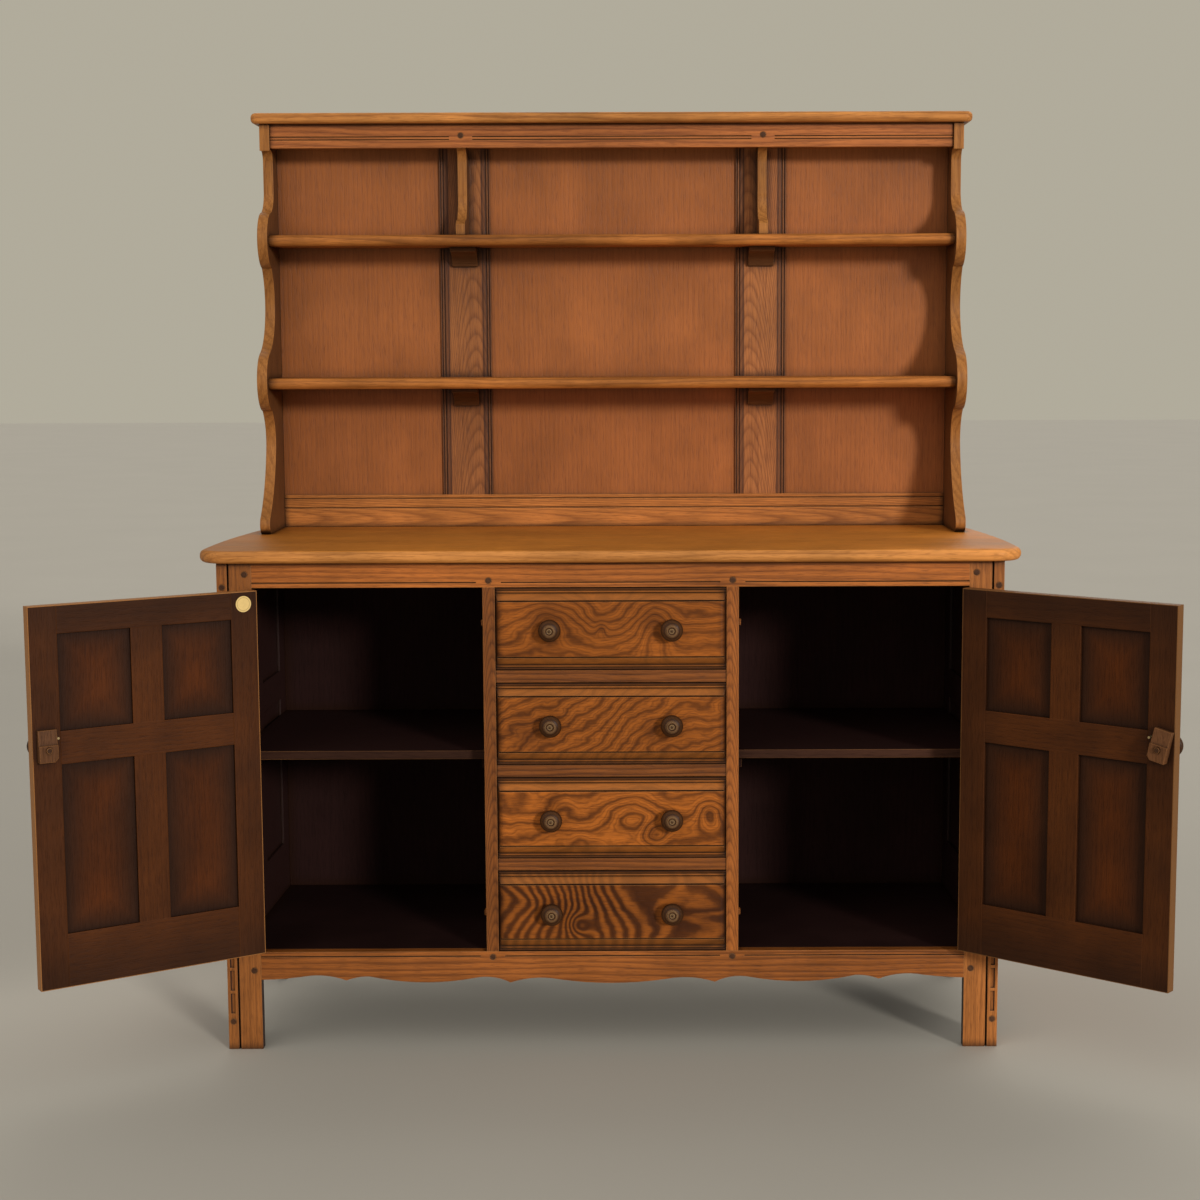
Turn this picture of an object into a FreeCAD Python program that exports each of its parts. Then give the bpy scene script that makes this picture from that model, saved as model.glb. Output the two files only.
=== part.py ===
import FreeCAD, Part
import math
import os

import Sketcher

# Kitchen dresser: a cupboard base with four drawers between two doors, and an open plate rack on its worktop.
# Millimetres, +Z up, the front faces -Y, the origin is on the floor at the centre of the base.

DRIVING_SIZES = {
    # base cabinet, tapered in plan towards the wall
    "base_width": 1366.0,
    "base_taper": 17.0,
    "base_depth": 474.0,
    "worktop_underside": 870.5,
    "frame_thickness": 20.0,
    "side_thickness": 18.0,
    "side_stile_width": 60.0,
    "side_muntin_width": 54.0,
    "side_frame_drop": 50.0,
    "leg_width": 60.4,
    "leg_groove_width": 3.5,
    "leg_groove_depth": 6.0,
    "opening_bottom": 177.0,
    "top_rail_height": 44.5,
    "apron_height": 58.2,
    "drawer_bay_width": 402.4,
    "drawer_stile_width": 21.3,
    "drawer_rail_height": 21.4,
    "drawer_rail_setback": 2.0,
    "partition_thickness": 9.5,
    "floor_thickness": 16.0,
    "back_thickness": 9.0,
    "rear_rail_height": 40.0,
    "shelf_rise": 28.5,
    "shelf_thickness": 15.0,
    "shelf_setback": 43.0,
    "batten_size": 20.0,
    "runner_width": 15.0,
    # worktop
    "worktop_end_overhang": 31.0,
    "worktop_rear_overhang": 2.0,
    "worktop_overhang": 28.0,
    "worktop_thickness": 22.0,
    "worktop_corner_radius": 50.0,
    "worktop_edge_radius": 10.0,
    # scratched grooves, pegs and carved flutes of the front frame
    "rail_groove_width": 2.0,
    "rail_groove_depth": 2.5,
    "rail_bead_height": 7.4,
    "groove_stop": 21.7,
    "peg_radius": 5.5,
    "peg_length": 14.0,
    "peg_stand": 0.6,
    "peg_fit": 0.05,
    "leg_peg_inset": 12.1,
    "leg_peg_drop": 21.0,
    "leg_peg_low_drop": 33.5,
    "side_peg_drop": 43.5,
    "side_peg_rise": 50.7,
    "flute_radius": 4.2,
    "flute_stand": 1.6,
    "flute_margin": 12.0,
    "rail_peg_rise": 11.6,
    "apron_peg_drop": 10.0,
    # frame and panel work
    "panel_thickness": 8.0,
    "panel_tongue": 6.5,
    "panel_fit": 0.2,
    # doors
    "door_thickness": 19.6,
    "door_gap": 1.5,
    "door_bottom_gap": 6.0,
    "door_stile_width": 47.5,
    "door_top_rail": 47.0,
    "door_middle_rail": 55.5,
    "door_bottom_rail": 91.0,
    "door_muntin_width": 54.5,
    "left_open_angle": 146.5,
    "right_open_angle": 141.0,
    # butt hinges
    "hinge_length": 63.0,
    "hinge_inset": 94.5,
    "hinge_axis_stand": 4.5,
    "leaf_thickness": 1.6,
    "leaf_reach": 17.0,
    "knuckle_radius": 4.0,
    "knuckle_gap": 0.3,
    "hinge_pin_radius": 1.5,
    "hinge_pin_fit": 0.15,
    # turn latches and door furniture
    "spindle_inset": 22.85,
    "spindle_radius": 5.0,
    "spindle_fit": 0.3,
    "spindle_end": 3.0,
    "button_width": 31.0,
    "button_rise": 33.0,
    "button_drop": 20.0,
    "button_thickness": 15.0,
    "button_tip_thickness": 9.0,
    "button_shoulder_rise": 8.0,
    "button_shoulder_depth": 3.0,
    "button_chamfer": 6.0,
    "button_stand": 0.9,
    "button_bore_fit": 0.05,
    "right_button_tilt": 12.0,
    "stop_pin_radius": 2.0,
    "stop_pin_rise": 18.0,
    "stop_pin_stand": 10.0,
    "stop_pin_seat": 10.0,
    "stop_pin_gap": 0.4,
    "disc_radius": 14.0,
    "disc_thickness": 2.0,
    "disc_inlay": 1.5,
    "disc_inset": 24.75,
    "disc_drop": 21.5,
    "door_stop_reach": 4.5,
    "door_stop_seat": 8.5,
    "door_stop_depth": 12.0,
    "door_stop_height": 10.0,
    "door_stop_inset": 65.0,
    # drawers
    "drawer_gap": 0.75,
    "front_board_depth": 14.0,
    "reed_height": 4.8,
    "reed_bulge": 2.2,
    "reed_valley": 1.2,
    "band_height": 12.5,
    "band_rise": 6.2,
    "band_bulge": 1.0,
    "field_groove_width": 2.2,
    "field_groove_depth": 2.5,
    "field_stand": 7.0,
    "front_end_run": 15.0,
    "box_side_thickness": 11.0,
    "box_clearance": 1.5,
    "box_drop": 26.7,
    "box_rear_gap": 41.0,
    "box_bottom_thickness": 6.0,
    "box_bottom_rise": 8.0,
    # turned knobs
    "knob_radius": 19.5,
    "knob_length": 31.0,
    "dowel_radius": 5.0,
    "dowel_length": 12.0,
    "dowel_fit": 0.05,
    # plate rack
    "rack_inset": 24.0,
    "rack_height": 761.5,
    "rack_side_thickness": 18.5,
    "rack_side_depth": 166.5,
    "rack_back_thickness": 14.7,
    "cornice_thickness": 19.5,
    "cornice_end_overhang": 15.0,
    "cornice_depth": 105.0,
    "cornice_corner_radius": 14.0,
    "cornice_edge_radius": 8.0,
    "frieze_height": 44.0,
    "frieze_thickness": 18.0,
    "frieze_depth": 70.0,
    "frieze_groove_width": 1.8,
    "frieze_groove_depth": 2.0,
    "frieze_upper_groove": 20.3,
    "frieze_lower_groove": 15.0,
    "frieze_peg_drop": 21.3,
    "upper_shelf_depth": 110.0,
    "lower_shelf_depth": 147.0,
    "rack_shelf_thickness": 20.0,
    "rack_shelf_nose": 7.0,
    "rack_rail_height": 62.0,
    "rack_rail_upper_groove": 55.0,
    "rack_rail_lower_groove": 37.0,
    "rack_rail_groove_width": 2.5,
    "muntin_width": 96.5,
    "muntin_outer_groove": 3.2,
    "muntin_inner_groove": 7.6,
    "muntin_groove_width": 1.4,
    "muntin_groove_depth": 1.5,
    "rack_panel_thickness": 6.0,
    "rack_panel_recess": 4.5,
    "rack_panel_tongue": 6.0,
    "divider_thickness": 17.0,
    "corbel_width": 48.0,
    "corbel_height": 35.0,
    "corbel_depth": 55.0,
    "corbel_face": 9.0,
    "corbel_foot": 7.0,
    # every cut runs past the face that it opens by this much
    "overrun": 2.0,
}

DRAWER_COUNT = 4
FLUTE_COUNT = 18

# Places and lengths given as shares: of the height left for a door's two rows of panels, of the drawer bay's
# width, of the rack's height and width, and of the distance between two flutes.
LOWER_PANEL_SHARE = 0.63951
KNOB_SPREAD_SHARE = 0.5253
UPPER_SHELF_SHARE = 0.72881
LOWER_SHELF_SHARE = 0.38018
MUNTIN_SPREAD_SHARE = 0.4298
FLUTE_LENGTH_SHARE = 0.875

# Lower edge of the apron, from its middle to one leg: shares of the half span, and of the apron's height
# measured down from its top edge. Each arc is given by the point that it passes and the point where it ends.
APRON_MIDDLE_SHARES = ((0.0, 1.0), (0.153, 0.880))
APRON_ARC_SHARES = (
    ((0.228, 0.837), (0.291, 0.974)),
    ((0.344, 0.804), (0.395, 0.833)),
    ((0.543, 0.962), (0.691, 0.773)),
    ((0.728, 0.802), (0.758, 0.893)),
    ((0.819, 0.742), (0.885, 0.777)),
    ((0.941, 0.837), (1.0, 0.866)),
)

# Front edge of a rack side, from the worktop to the cornice: shares of the side's depth and height.
RACK_FOOT_SHARES = (0.90, 0.0)
RACK_ARC_SHARES = (
    ((1.0, 0.0268), (0.949, 0.0427)),
    ((0.640, 0.124), (0.490, 0.2133)),
    ((0.545, 0.2699), (0.673, 0.3001)),
    ((0.970, 0.3711), (0.751, 0.4405)),
    ((0.345, 0.5516), (0.4925, 0.6498)),
    ((0.745, 0.7163), (0.450, 0.7858)),
    ((0.312, 0.8066), (0.258, 0.8344)),
)
RACK_NECK_SHARES = (0.258, 0.9118)
RACK_NOTCH_SHARES = ((0.295, 0.9306), (0.450, 0.9356))
RACK_TOP_SHARES = (0.450, 1.0)

# Front edge of a divider in the top bay: shares of the rack side's depth and of the divider's height.
DIVIDER_FOOT_SHARES = ((0.60, 0.0), (0.60, 0.12))
DIVIDER_ARC_SHARES = (
    ((0.53, 0.165), (0.43, 0.175)),
    ((0.30, 0.30), (0.27, 0.48)),
)
DIVIDER_NECK_SHARES = (0.27, 0.84)
DIVIDER_TOP_SHARES = ((0.31, 0.95), (0.40, 1.0))

# Profile of a turned knob: shares of its radius and of its length.
KNOB_FOOT_SHARES = ((0.72, 0.0), (0.72, 0.06))
KNOB_ARC_SHARES = (
    ((0.54, 0.26), (0.80, 0.44)),
    ((1.0, 0.62), (0.84, 0.80)),
    ((0.68, 0.89), (0.47, 0.92)),
)
KNOB_RING_SHARES = ((0.45, 1.0), (0.34, 1.0), (0.26, 0.93), (0.15, 0.93), (0.10, 0.99))

document = FreeCAD.newDocument("KitchenDresser")
sheet = document.addObject("Spreadsheet::Sheet", "Sizes")
nodes = []


class Size:
    """A length, with its value now and the sheet expression that gives it."""

    def __init__(self, text, value):
        self.text = text
        self.value = value

    def __add__(self, other):
        other = as_size(other)
        return Size(f"({self.text} + {other.text})", self.value + other.value)

    def __sub__(self, other):
        other = as_size(other)
        return Size(f"({self.text} - {other.text})", self.value - other.value)

    def __mul__(self, other):
        other = as_size(other)
        return Size(f"({self.text} * {other.text})", self.value * other.value)

    def __truediv__(self, other):
        other = as_size(other)
        return Size(f"({self.text} / {other.text})", self.value / other.value)

    def __neg__(self):
        return Size(f"(0 - {self.text})", -self.value)

    __radd__ = __add__
    __rmul__ = __mul__


class DrivingSizes:
    """The driving dimensions, each under its own name."""


def as_size(item):
    """Give a plain number the same form as a size from the sheet."""
    if isinstance(item, Size):
        return item
    return Size(repr(item), item)


def fill_sheet():
    """Write every driving dimension to the sheet and name its cell."""
    named = DrivingSizes()
    for row, (name, number) in enumerate(DRIVING_SIZES.items(), start=1):
        sheet.set(f"A{row}", str(number))
        sheet.setAlias(f"A{row}", name)
        setattr(named, name, Size(f"Sizes.{name}", number))
    document.recompute()
    return named


size = fill_sheet()


def bind(item, path, length):
    """Tie one property to the sheet."""
    item.setExpression(path, as_size(length).text)


def place(item, x, y, z):
    """Tie the position of an object to the sheet and keep its rotation."""
    bind(item, "Placement.Base.x", x)
    bind(item, "Placement.Base.y", y)
    bind(item, "Placement.Base.z", z)
    return item


def turned(item, axis, angle):
    """Turn an object about an axis through its own origin by an angle from the sheet."""
    item.Placement = FreeCAD.Placement(FreeCAD.Vector(), FreeCAD.Rotation(FreeCAD.Vector(*axis), angle.value))
    bind(item, "Placement.Rotation.Angle", angle)
    return item


def span(middle, width):
    """Two planes at equal distances from a middle."""
    return middle - width / 2, middle + width / 2


def grown(pair, margin):
    """Two planes, each moved out by a margin."""
    return pair[0] - margin, pair[1] + margin


def mirrored(side, pair):
    """The same pair of planes on the right (side 1) or mirrored to the left (side -1)."""
    if side > 0:
        return pair
    return -as_size(pair[1]), -as_size(pair[0])


def box(name, x, y, z):
    """A square board between two planes each way."""
    board = document.addObject("Part::Box", name)
    for path, (low, high) in zip(("Length", "Width", "Height"), (x, y, z)):
        bind(board, path, as_size(high) - low)
    return place(board, x[0], y[0], z[0])


def tapered(name, near, far, y, z):
    """A board whose ends follow two lines in plan, given as half widths at a depth."""
    board = document.addObject("Part::Wedge", name)
    places = {
        "Xmin": near(y[0]), "Xmax": far(y[0]), "X2min": near(y[1]), "X2max": far(y[1]),
        "Ymin": y[0], "Ymax": y[1], "Zmin": z[0], "Zmax": z[1], "Z2min": z[0], "Z2max": z[1],
    }
    for path, length in places.items():
        bind(board, path, length)
    return board


def upright_rod(name, radius, x, y, z):
    """A round bar along Z."""
    rod = document.addObject("Part::Cylinder", name)
    bind(rod, "Radius", radius)
    bind(rod, "Height", as_size(z[1]) - z[0])
    return place(rod, x, y, z[0])


def level_rod(name, radius, x, y, z):
    """A round bar along Y."""
    rod = document.addObject("Part::Cylinder", name)
    bind(rod, "Radius", radius)
    bind(rod, "Height", as_size(y[1]) - y[0])
    rod.Placement = FreeCAD.Placement(FreeCAD.Vector(), FreeCAD.Rotation(FreeCAD.Vector(1, 0, 0), -90))
    return place(rod, x, y[0], z)


def group(name, pieces):
    """Several solids kept together without being joined."""
    if len(pieces) == 1:
        return pieces[0]
    together = document.addObject("Part::Compound", name)
    together.Links = pieces
    return together


def cut(name, base, cutters):
    """A piece with other shapes taken out of it."""
    piece = document.addObject("Part::Cut", name)
    piece.Base = base
    piece.Tool = group(f"{name}_cutters", cutters)
    return piece


def fused(name, pieces):
    """One solid made of several that overlap."""
    piece = document.addObject("Part::MultiFuse", name)
    piece.Shapes = pieces
    return piece


def node(name, pieces):
    """Name a sub-part: one piece, or a group of like pieces."""
    part = document.addObject("Part::Compound", name)
    part.Links = pieces
    part.Label = name
    nodes.append(part)
    return part


def circle_through(start, middle, end):
    """Centre, radius and turning direction of the circle through three points of a sketch."""
    chord_x, chord_y = middle.x - start.x, middle.y - start.y
    far_x, far_y = end.x - start.x, end.y - start.y
    turn = 2 * (chord_x * far_y - chord_y * far_x)
    chord_square = chord_x ** 2 + chord_y ** 2
    far_square = far_x ** 2 + far_y ** 2
    centre_x = start.x + (far_y * chord_square - chord_y * far_square) / turn
    centre_y = start.y + (chord_x * far_square - far_x * chord_square) / turn
    centre = FreeCAD.Vector(centre_x, centre_y, 0)
    return centre, start.distanceToPoint(centre), turn > 0


def flat(point):
    """A point of an outline as a vector with its value now."""
    return FreeCAD.Vector(as_size(point[0]).value, as_size(point[1]).value, 0)


def pin(sketch, curve, end, point):
    """Fix one end of a curve to two sizes from the sheet."""
    for kind, length in zip(("DistanceX", "DistanceY"), point):
        length = as_size(length)
        number = sketch.addConstraint(Sketcher.Constraint(kind, -1, 1, curve, end, length.value))
        sketch.setExpression(f"Constraints[{number}]", length.text)


def draw(sketch, start, steps):
    """Draw a closed outline: a step of one point is a line, a step of two is an arc past the first."""
    ends = []
    here = start
    for step in steps:
        target = step[-1]
        if len(step) == 1:
            curve = sketch.addGeometry(Part.LineSegment(flat(here), flat(target)), False)
            ends.append((curve, 1, 2))
        else:
            centre, radius, leftward = circle_through(flat(here), flat(step[0]), flat(target))
            first, last = (here, target) if leftward else (target, here)
            angles = [math.atan2(flat(p).y - centre.y, flat(p).x - centre.x) for p in (first, last)]
            if angles[1] < angles[0]:
                angles[1] += 2 * math.pi
            circle = Part.Circle(centre, FreeCAD.Vector(0, 0, 1), radius)
            curve = sketch.addGeometry(Part.ArcOfCircle(circle, angles[0], angles[1]), False)
            ends.append((curve, 1, 2) if leftward else (curve, 2, 1))
            middle = sketch.addGeometry(Part.Point(flat(step[0])), True)
            pin(sketch, middle, 1, step[0])
            sketch.addConstraint(Sketcher.Constraint("PointOnObject", middle, 1, curve))
        pin(sketch, ends[-1][0], ends[-1][1], here)
        here = target
    for (curve, _, last), (following, first, _) in zip(ends, ends[1:] + ends[:1]):
        sketch.addConstraint(Sketcher.Constraint("Coincident", curve, last, following, first))


def sketched(name, plane, start, steps):
    """A body with one outline on one of its origin planes."""
    body = document.addObject("PartDesign::Body", name)
    sketch = body.newObject("Sketcher::SketchObject", f"{name}_outline")
    support = [feature for feature in body.Origin.OriginFeatures if feature.Role == plane]
    sketch.AttachmentSupport = [(support[0], "")]
    sketch.MapMode = "FlatFace"
    draw(sketch, start, steps)
    return body, sketch


def padded(name, plane, start, steps, depth):
    """An outline given a thickness: up from XY_Plane, to +X from YZ_Plane, to -Y from XZ_Plane."""
    body, sketch = sketched(name, plane, start, steps)
    pad = body.newObject("PartDesign::Pad", f"{name}_pad")
    pad.Profile = sketch
    bind(pad, "Length", depth)
    return body


def dressed(body, kind, measure, length, wanted):
    """Round or chamfer the edges of a body that pass a test."""
    document.recompute()
    base = body.Tip
    numbered = enumerate(base.Shape.Edges, start=1)
    edges = [f"Edge{number}" for number, edge in numbered if wanted(edge.BoundBox)]
    feature = body.newObject(f"PartDesign::{kind}", f"{body.Name}_{kind.lower()}")
    feature.Base = (base, edges)
    bind(feature, measure, length)
    return body


def lathed(name, start, steps):
    """An outline on XY_Plane spun about its vertical axis."""
    body, sketch = sketched(name, "XY_Plane", start, steps)
    turning = body.newObject("PartDesign::Revolution", f"{name}_turning")
    turning.Profile = sketch
    turning.ReferenceAxis = (sketch, ["V_Axis"])
    turning.Angle = 360
    return body


SIDES = ((-1, "left"), (1, "right"))

# Planes and lines that several pieces share.
front = -size.base_depth / 2
rear = size.base_depth / 2
frame_back = front + size.frame_thickness
back_front = rear - size.back_thickness
leg_inner = size.base_width / 2 - size.leg_width
bay_half = size.drawer_bay_width / 2
cupboard_inner = bay_half + size.drawer_stile_width
partition_outer = bay_half + size.partition_thickness
worktop_top = size.worktop_underside + size.worktop_thickness
opening_top = size.worktop_underside - size.top_rail_height
floor_bottom = size.opening_bottom - size.floor_thickness
partition_top = size.worktop_underside - size.rear_rail_height
drawer_opening = (
    opening_top - size.opening_bottom - size.drawer_rail_height * (DRAWER_COUNT - 1)
) / DRAWER_COUNT
drawer_pitch = drawer_opening + size.drawer_rail_height
door_bottom = size.opening_bottom + size.door_bottom_gap
door_top = opening_top - size.door_gap
door_rails = size.door_bottom_rail + size.door_middle_rail + size.door_top_rail
lower_panel_height = (door_top - door_bottom - door_rails) * LOWER_PANEL_SHARE
lower_opening_z = (
    door_bottom + size.door_bottom_rail,
    door_bottom + size.door_bottom_rail + lower_panel_height,
)
upper_opening_z = (lower_opening_z[1] + size.door_middle_rail, door_top - size.door_top_rail)
hinge_heights = (door_bottom + size.hinge_inset, door_top - size.hinge_inset)
hinge_x = leg_inner - size.door_gap / 2
hinge_y = front - size.hinge_axis_stand
peg_hole_radius = size.peg_radius + size.peg_fit
rack_front = rear - size.rack_back_thickness
rack_half = size.base_width / 2 - size.rack_inset
rack_inner = rack_half - size.rack_side_thickness
cornice_bottom = worktop_top + size.rack_height
frieze_bottom = cornice_bottom - size.frieze_height
upper_shelf_top = worktop_top + size.rack_height * UPPER_SHELF_SHARE
lower_shelf_top = worktop_top + size.rack_height * LOWER_SHELF_SHARE
muntin_middle = rack_half * MUNTIN_SPREAD_SHARE
knob_middle = bay_half * KNOB_SPREAD_SHARE


def outer_at(y):
    """Half width over the side frames at a depth."""
    return size.base_width / 2 - size.base_taper * ((y - front) / size.base_depth)


def inner_at(y):
    """Half width between the side frames at a depth."""
    return outer_at(y) - size.side_thickness


def side_lines(side, inset, outset):
    """Two lines that follow one side frame, set in from its inner and its outer face."""

    def low(y):
        return inner_at(y) + inset

    def high(y):
        return outer_at(y) - outset

    if side > 0:
        return low, high
    return (lambda y: -high(y)), (lambda y: -low(y))


def peg_hole(name, x, y, z):
    """A blind hole for a peg, open to the front."""
    return level_rod(name, peg_hole_radius, x, (y - size.overrun, y + size.peg_length - size.peg_stand), z)


# Worktop: one board with a straight front, bowed ends and a rounded edge.
def worktop():
    half = size.base_width / 2 + size.worktop_end_overhang
    rear_half = outer_at(rear) + size.worktop_rear_overhang
    nose = front - size.worktop_overhang
    corner = size.worktop_corner_radius
    corner_share = 1 - math.sqrt(0.5)
    bow_share = 0.25
    shoulder = nose + corner
    bow = half - (half - rear_half) * bow_share

    def end(side):
        return (
            (side * (half - corner), nose),
            (side * (half - corner * corner_share), nose + corner * corner_share),
            (side * half, shoulder),
            (side * bow, (shoulder + rear) / 2),
            (side * rear_half, rear),
        )

    left, right = end(-1), end(1)
    steps = [(right[0],), right[1:3], right[3:5], (left[4],), (left[3], left[2]), (left[1], left[0])]
    body = padded("worktop_board", "XY_Plane", left[0], steps, size.worktop_thickness)
    place(body, 0, 0, size.worktop_underside)

    def rounded(edge):
        return edge.ZLength < edge.DiagonalLength / 2 and edge.YMin < rear.value - size.overrun.value

    dressed(body, "Fillet", "Radius", size.worktop_edge_radius, rounded)
    node("worktop", [body])


# Front legs: flat stiles with a groove down the edge that meets the side frame.
def front_legs():
    for side, word in SIDES:
        groove_start = inner_at(front) - size.leg_groove_width
        groove_floor = front + size.leg_groove_depth
        corners = (
            (leg_inner, front),
            (groove_start, front),
            (groove_start, groove_floor),
            (inner_at(groove_floor), groove_floor),
            (inner_at(frame_back), frame_back),
            (leg_inner, frame_back),
        )
        corners = [(side * x, y) for x, y in corners]
        steps = [(corner,) for corner in corners[1:] + corners[:1]]
        stile = padded(f"{word}_leg_stile", "XY_Plane", corners[0], steps, size.worktop_underside)
        peg_x = side * (leg_inner + size.leg_peg_inset)
        cutters = [
            peg_hole(f"{word}_leg_top_hole", peg_x, front, size.worktop_underside - size.leg_peg_drop),
            peg_hole(f"{word}_leg_low_hole", peg_x, front, size.opening_bottom - size.leg_peg_low_drop),
        ]
        mortise_x = mirrored(side, (leg_inner - size.overrun, leg_inner + size.leaf_thickness))
        for height in hinge_heights:
            mortise_z = span(height, size.hinge_length)
            mortise_y = (front - size.overrun, front + size.leaf_reach)
            cutters.append(box(f"{word}_leg_mortise", mortise_x, mortise_y, mortise_z))
        node(f"front_leg_{word}", [cut(f"{word}_leg_cut", stile, cutters)])


def flutes(name, x, z):
    """A row of carved flutes down a front edge, between two heights."""
    pitch = (z[1] - z[0]) / FLUTE_COUNT
    pieces = []
    for number in range(FLUTE_COUNT):
        flute_z = span(z[0] + pitch * (number + 0.5), pitch * FLUTE_LENGTH_SHARE)
        pieces.append(upright_rod(name, size.flute_radius, x, front - size.flute_stand, flute_z))
    return pieces


# Side frames: stiles, rails and muntins grooved for panels, all following the taper in plan.
def side_frames():
    stiles_front, stiles_rear, rails, panels = [], [], [], []
    stile_front_y = (front, front + size.side_stile_width)
    stile_rear_y = (rear - size.side_stile_width, rear)
    muntin_y = span((front + rear) / 2, size.side_muntin_width)
    rail_y = (stile_front_y[1], stile_rear_y[0])
    panel_inset = (size.side_thickness - size.panel_thickness) / 2
    rail_heights = (
        (size.opening_bottom - size.side_frame_drop, lower_opening_z[0]),
        (lower_opening_z[1], upper_opening_z[0]),
        (upper_opening_z[1], size.worktop_underside),
    )
    for side, word in SIDES:
        spaces = []
        fit_lines = side_lines(side, panel_inset - size.panel_fit, panel_inset - size.panel_fit)
        panel_lines = side_lines(side, panel_inset, panel_inset)
        board_lines = side_lines(side, 0, 0)
        for bay_y in ((rail_y[0], muntin_y[0]), (muntin_y[1], rail_y[1])):
            for bay_z in (lower_opening_z, upper_opening_z):
                panel_y = grown(bay_y, size.panel_tongue)
                panel_z = grown(bay_z, size.panel_tongue)
                panels.append(tapered(f"{word}_side_panel", *panel_lines, panel_y, panel_z))
                space_y = grown(panel_y, size.panel_fit)
                space_z = grown(panel_z, size.panel_fit)
                spaces.append(tapered(f"{word}_side_panel_space", *fit_lines, space_y, space_z))
        panel_spaces = group(f"{word}_side_panel_spaces", spaces)

        def grooved(name, y, z):
            return cut(f"{name}_cut", tapered(name, *board_lines, y, z), [panel_spaces])

        full_z = (0, size.worktop_underside)
        peg_x = side * (outer_at(front) - size.side_thickness / 2)
        peg_heights = (size.side_peg_rise, size.worktop_underside - size.side_peg_drop)
        front_stile = grooved(f"{word}_side_front_stile", stile_front_y, full_z)
        cutters = [peg_hole(f"{word}_side_hole", peg_x, front, height) for height in peg_heights]
        cutters += flutes(f"{word}_side_flute", peg_x, grown(peg_heights, -size.flute_margin))
        stiles_front.append(cut(f"{word}_side_front_stile_carved", front_stile, cutters))
        stiles_rear.append(grooved(f"{word}_side_rear_stile", stile_rear_y, full_z))
        for rail_z in rail_heights:
            rails.append(grooved(f"{word}_side_rail", rail_y, rail_z))
        for muntin_z in (lower_opening_z, upper_opening_z):
            rails.append(grooved(f"{word}_side_muntin", muntin_y, muntin_z))
    node("side_front_stiles", stiles_front)
    node("side_rear_stiles", stiles_rear)
    node("side_rails", rails)
    node("side_panels", panels)


def stopped_grooves(name, half, stop_x, face_y, z, depth):
    """A groove along a rail, stopped on both sides of two pegs."""
    groove_y = (face_y - size.overrun, face_y + depth)
    gap = span(stop_x, size.groove_stop * 2)
    runs = ((-half, -gap[1]), (-gap[0], gap[0]), (gap[1], half))
    return [box(name, run, groove_y, z) for run in runs]


# Front frame: top rail, shaped apron, drawer stiles and drawer rails.
def front_frame():
    frame_y = (front, frame_back)
    stile_middle = bay_half + size.drawer_stile_width / 2
    rail = box("top_rail_board", (-leg_inner, leg_inner), frame_y, (opening_top, size.worktop_underside))
    groove_bottom = opening_top + size.rail_bead_height
    groove_z = (groove_bottom, groove_bottom + size.rail_groove_width)
    groove_depth = size.rail_groove_depth
    cutters = stopped_grooves("top_rail_groove", leg_inner, stile_middle, front, groove_z, groove_depth)
    peg_z = opening_top + size.rail_peg_rise
    cutters += [peg_hole("top_rail_hole", side * stile_middle, front, peg_z) for side, _ in SIDES]
    node("front_top_rail", [cut("top_rail_cut", rail, cutters)])

    def edge_point(side, shares):
        return side * (leg_inner * shares[0]), size.opening_bottom - size.apron_height * shares[1]

    steps = [((leg_inner, size.opening_bottom),), (edge_point(1, APRON_ARC_SHARES[-1][1]),)]
    ends = [APRON_MIDDLE_SHARES[1]] + [end for _, end in APRON_ARC_SHARES]
    for (middle, _), target in zip(reversed(APRON_ARC_SHARES), reversed(ends[:-1])):
        steps.append((edge_point(1, middle), edge_point(1, target)))
    steps.append((edge_point(1, APRON_MIDDLE_SHARES[0]), edge_point(-1, APRON_MIDDLE_SHARES[1])))
    for middle, target in APRON_ARC_SHARES:
        steps.append((edge_point(-1, middle), edge_point(-1, target)))
    start = (-leg_inner, size.opening_bottom)
    steps.append((start,))
    apron = padded("apron_board", "XZ_Plane", start, steps, size.frame_thickness)
    place(apron, 0, frame_back, 0)
    groove_top = size.opening_bottom - size.rail_bead_height
    groove_z = (groove_top - size.rail_groove_width, groove_top)
    cutters = stopped_grooves("apron_groove", leg_inner, stile_middle, front, groove_z, groove_depth)
    peg_z = size.opening_bottom - size.apron_peg_drop
    cutters += [peg_hole("apron_hole", side * stile_middle, front, peg_z) for side, _ in SIDES]
    node("front_apron", [cut("apron_cut", apron, cutters)])

    opening_z = (size.opening_bottom, opening_top)
    stile_x = (bay_half, cupboard_inner)
    stiles = [box("drawer_stile", mirrored(side, stile_x), frame_y, opening_z) for side, _ in SIDES]
    node("drawer_stiles", stiles)
    rail_y = (front + size.drawer_rail_setback, frame_back)
    rails = [box("drawer_rail", (-bay_half, bay_half), rail_y, rail_z) for rail_z in drawer_rail_heights()]
    node("drawer_rails", rails)


def drawer_rail_heights():
    """Bottom and top of each rail between two drawers."""
    lowest = size.opening_bottom + drawer_opening
    bottoms = [lowest + drawer_pitch * number for number in range(DRAWER_COUNT - 1)]
    return [(bottom, bottom + size.drawer_rail_height) for bottom in bottoms]


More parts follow.
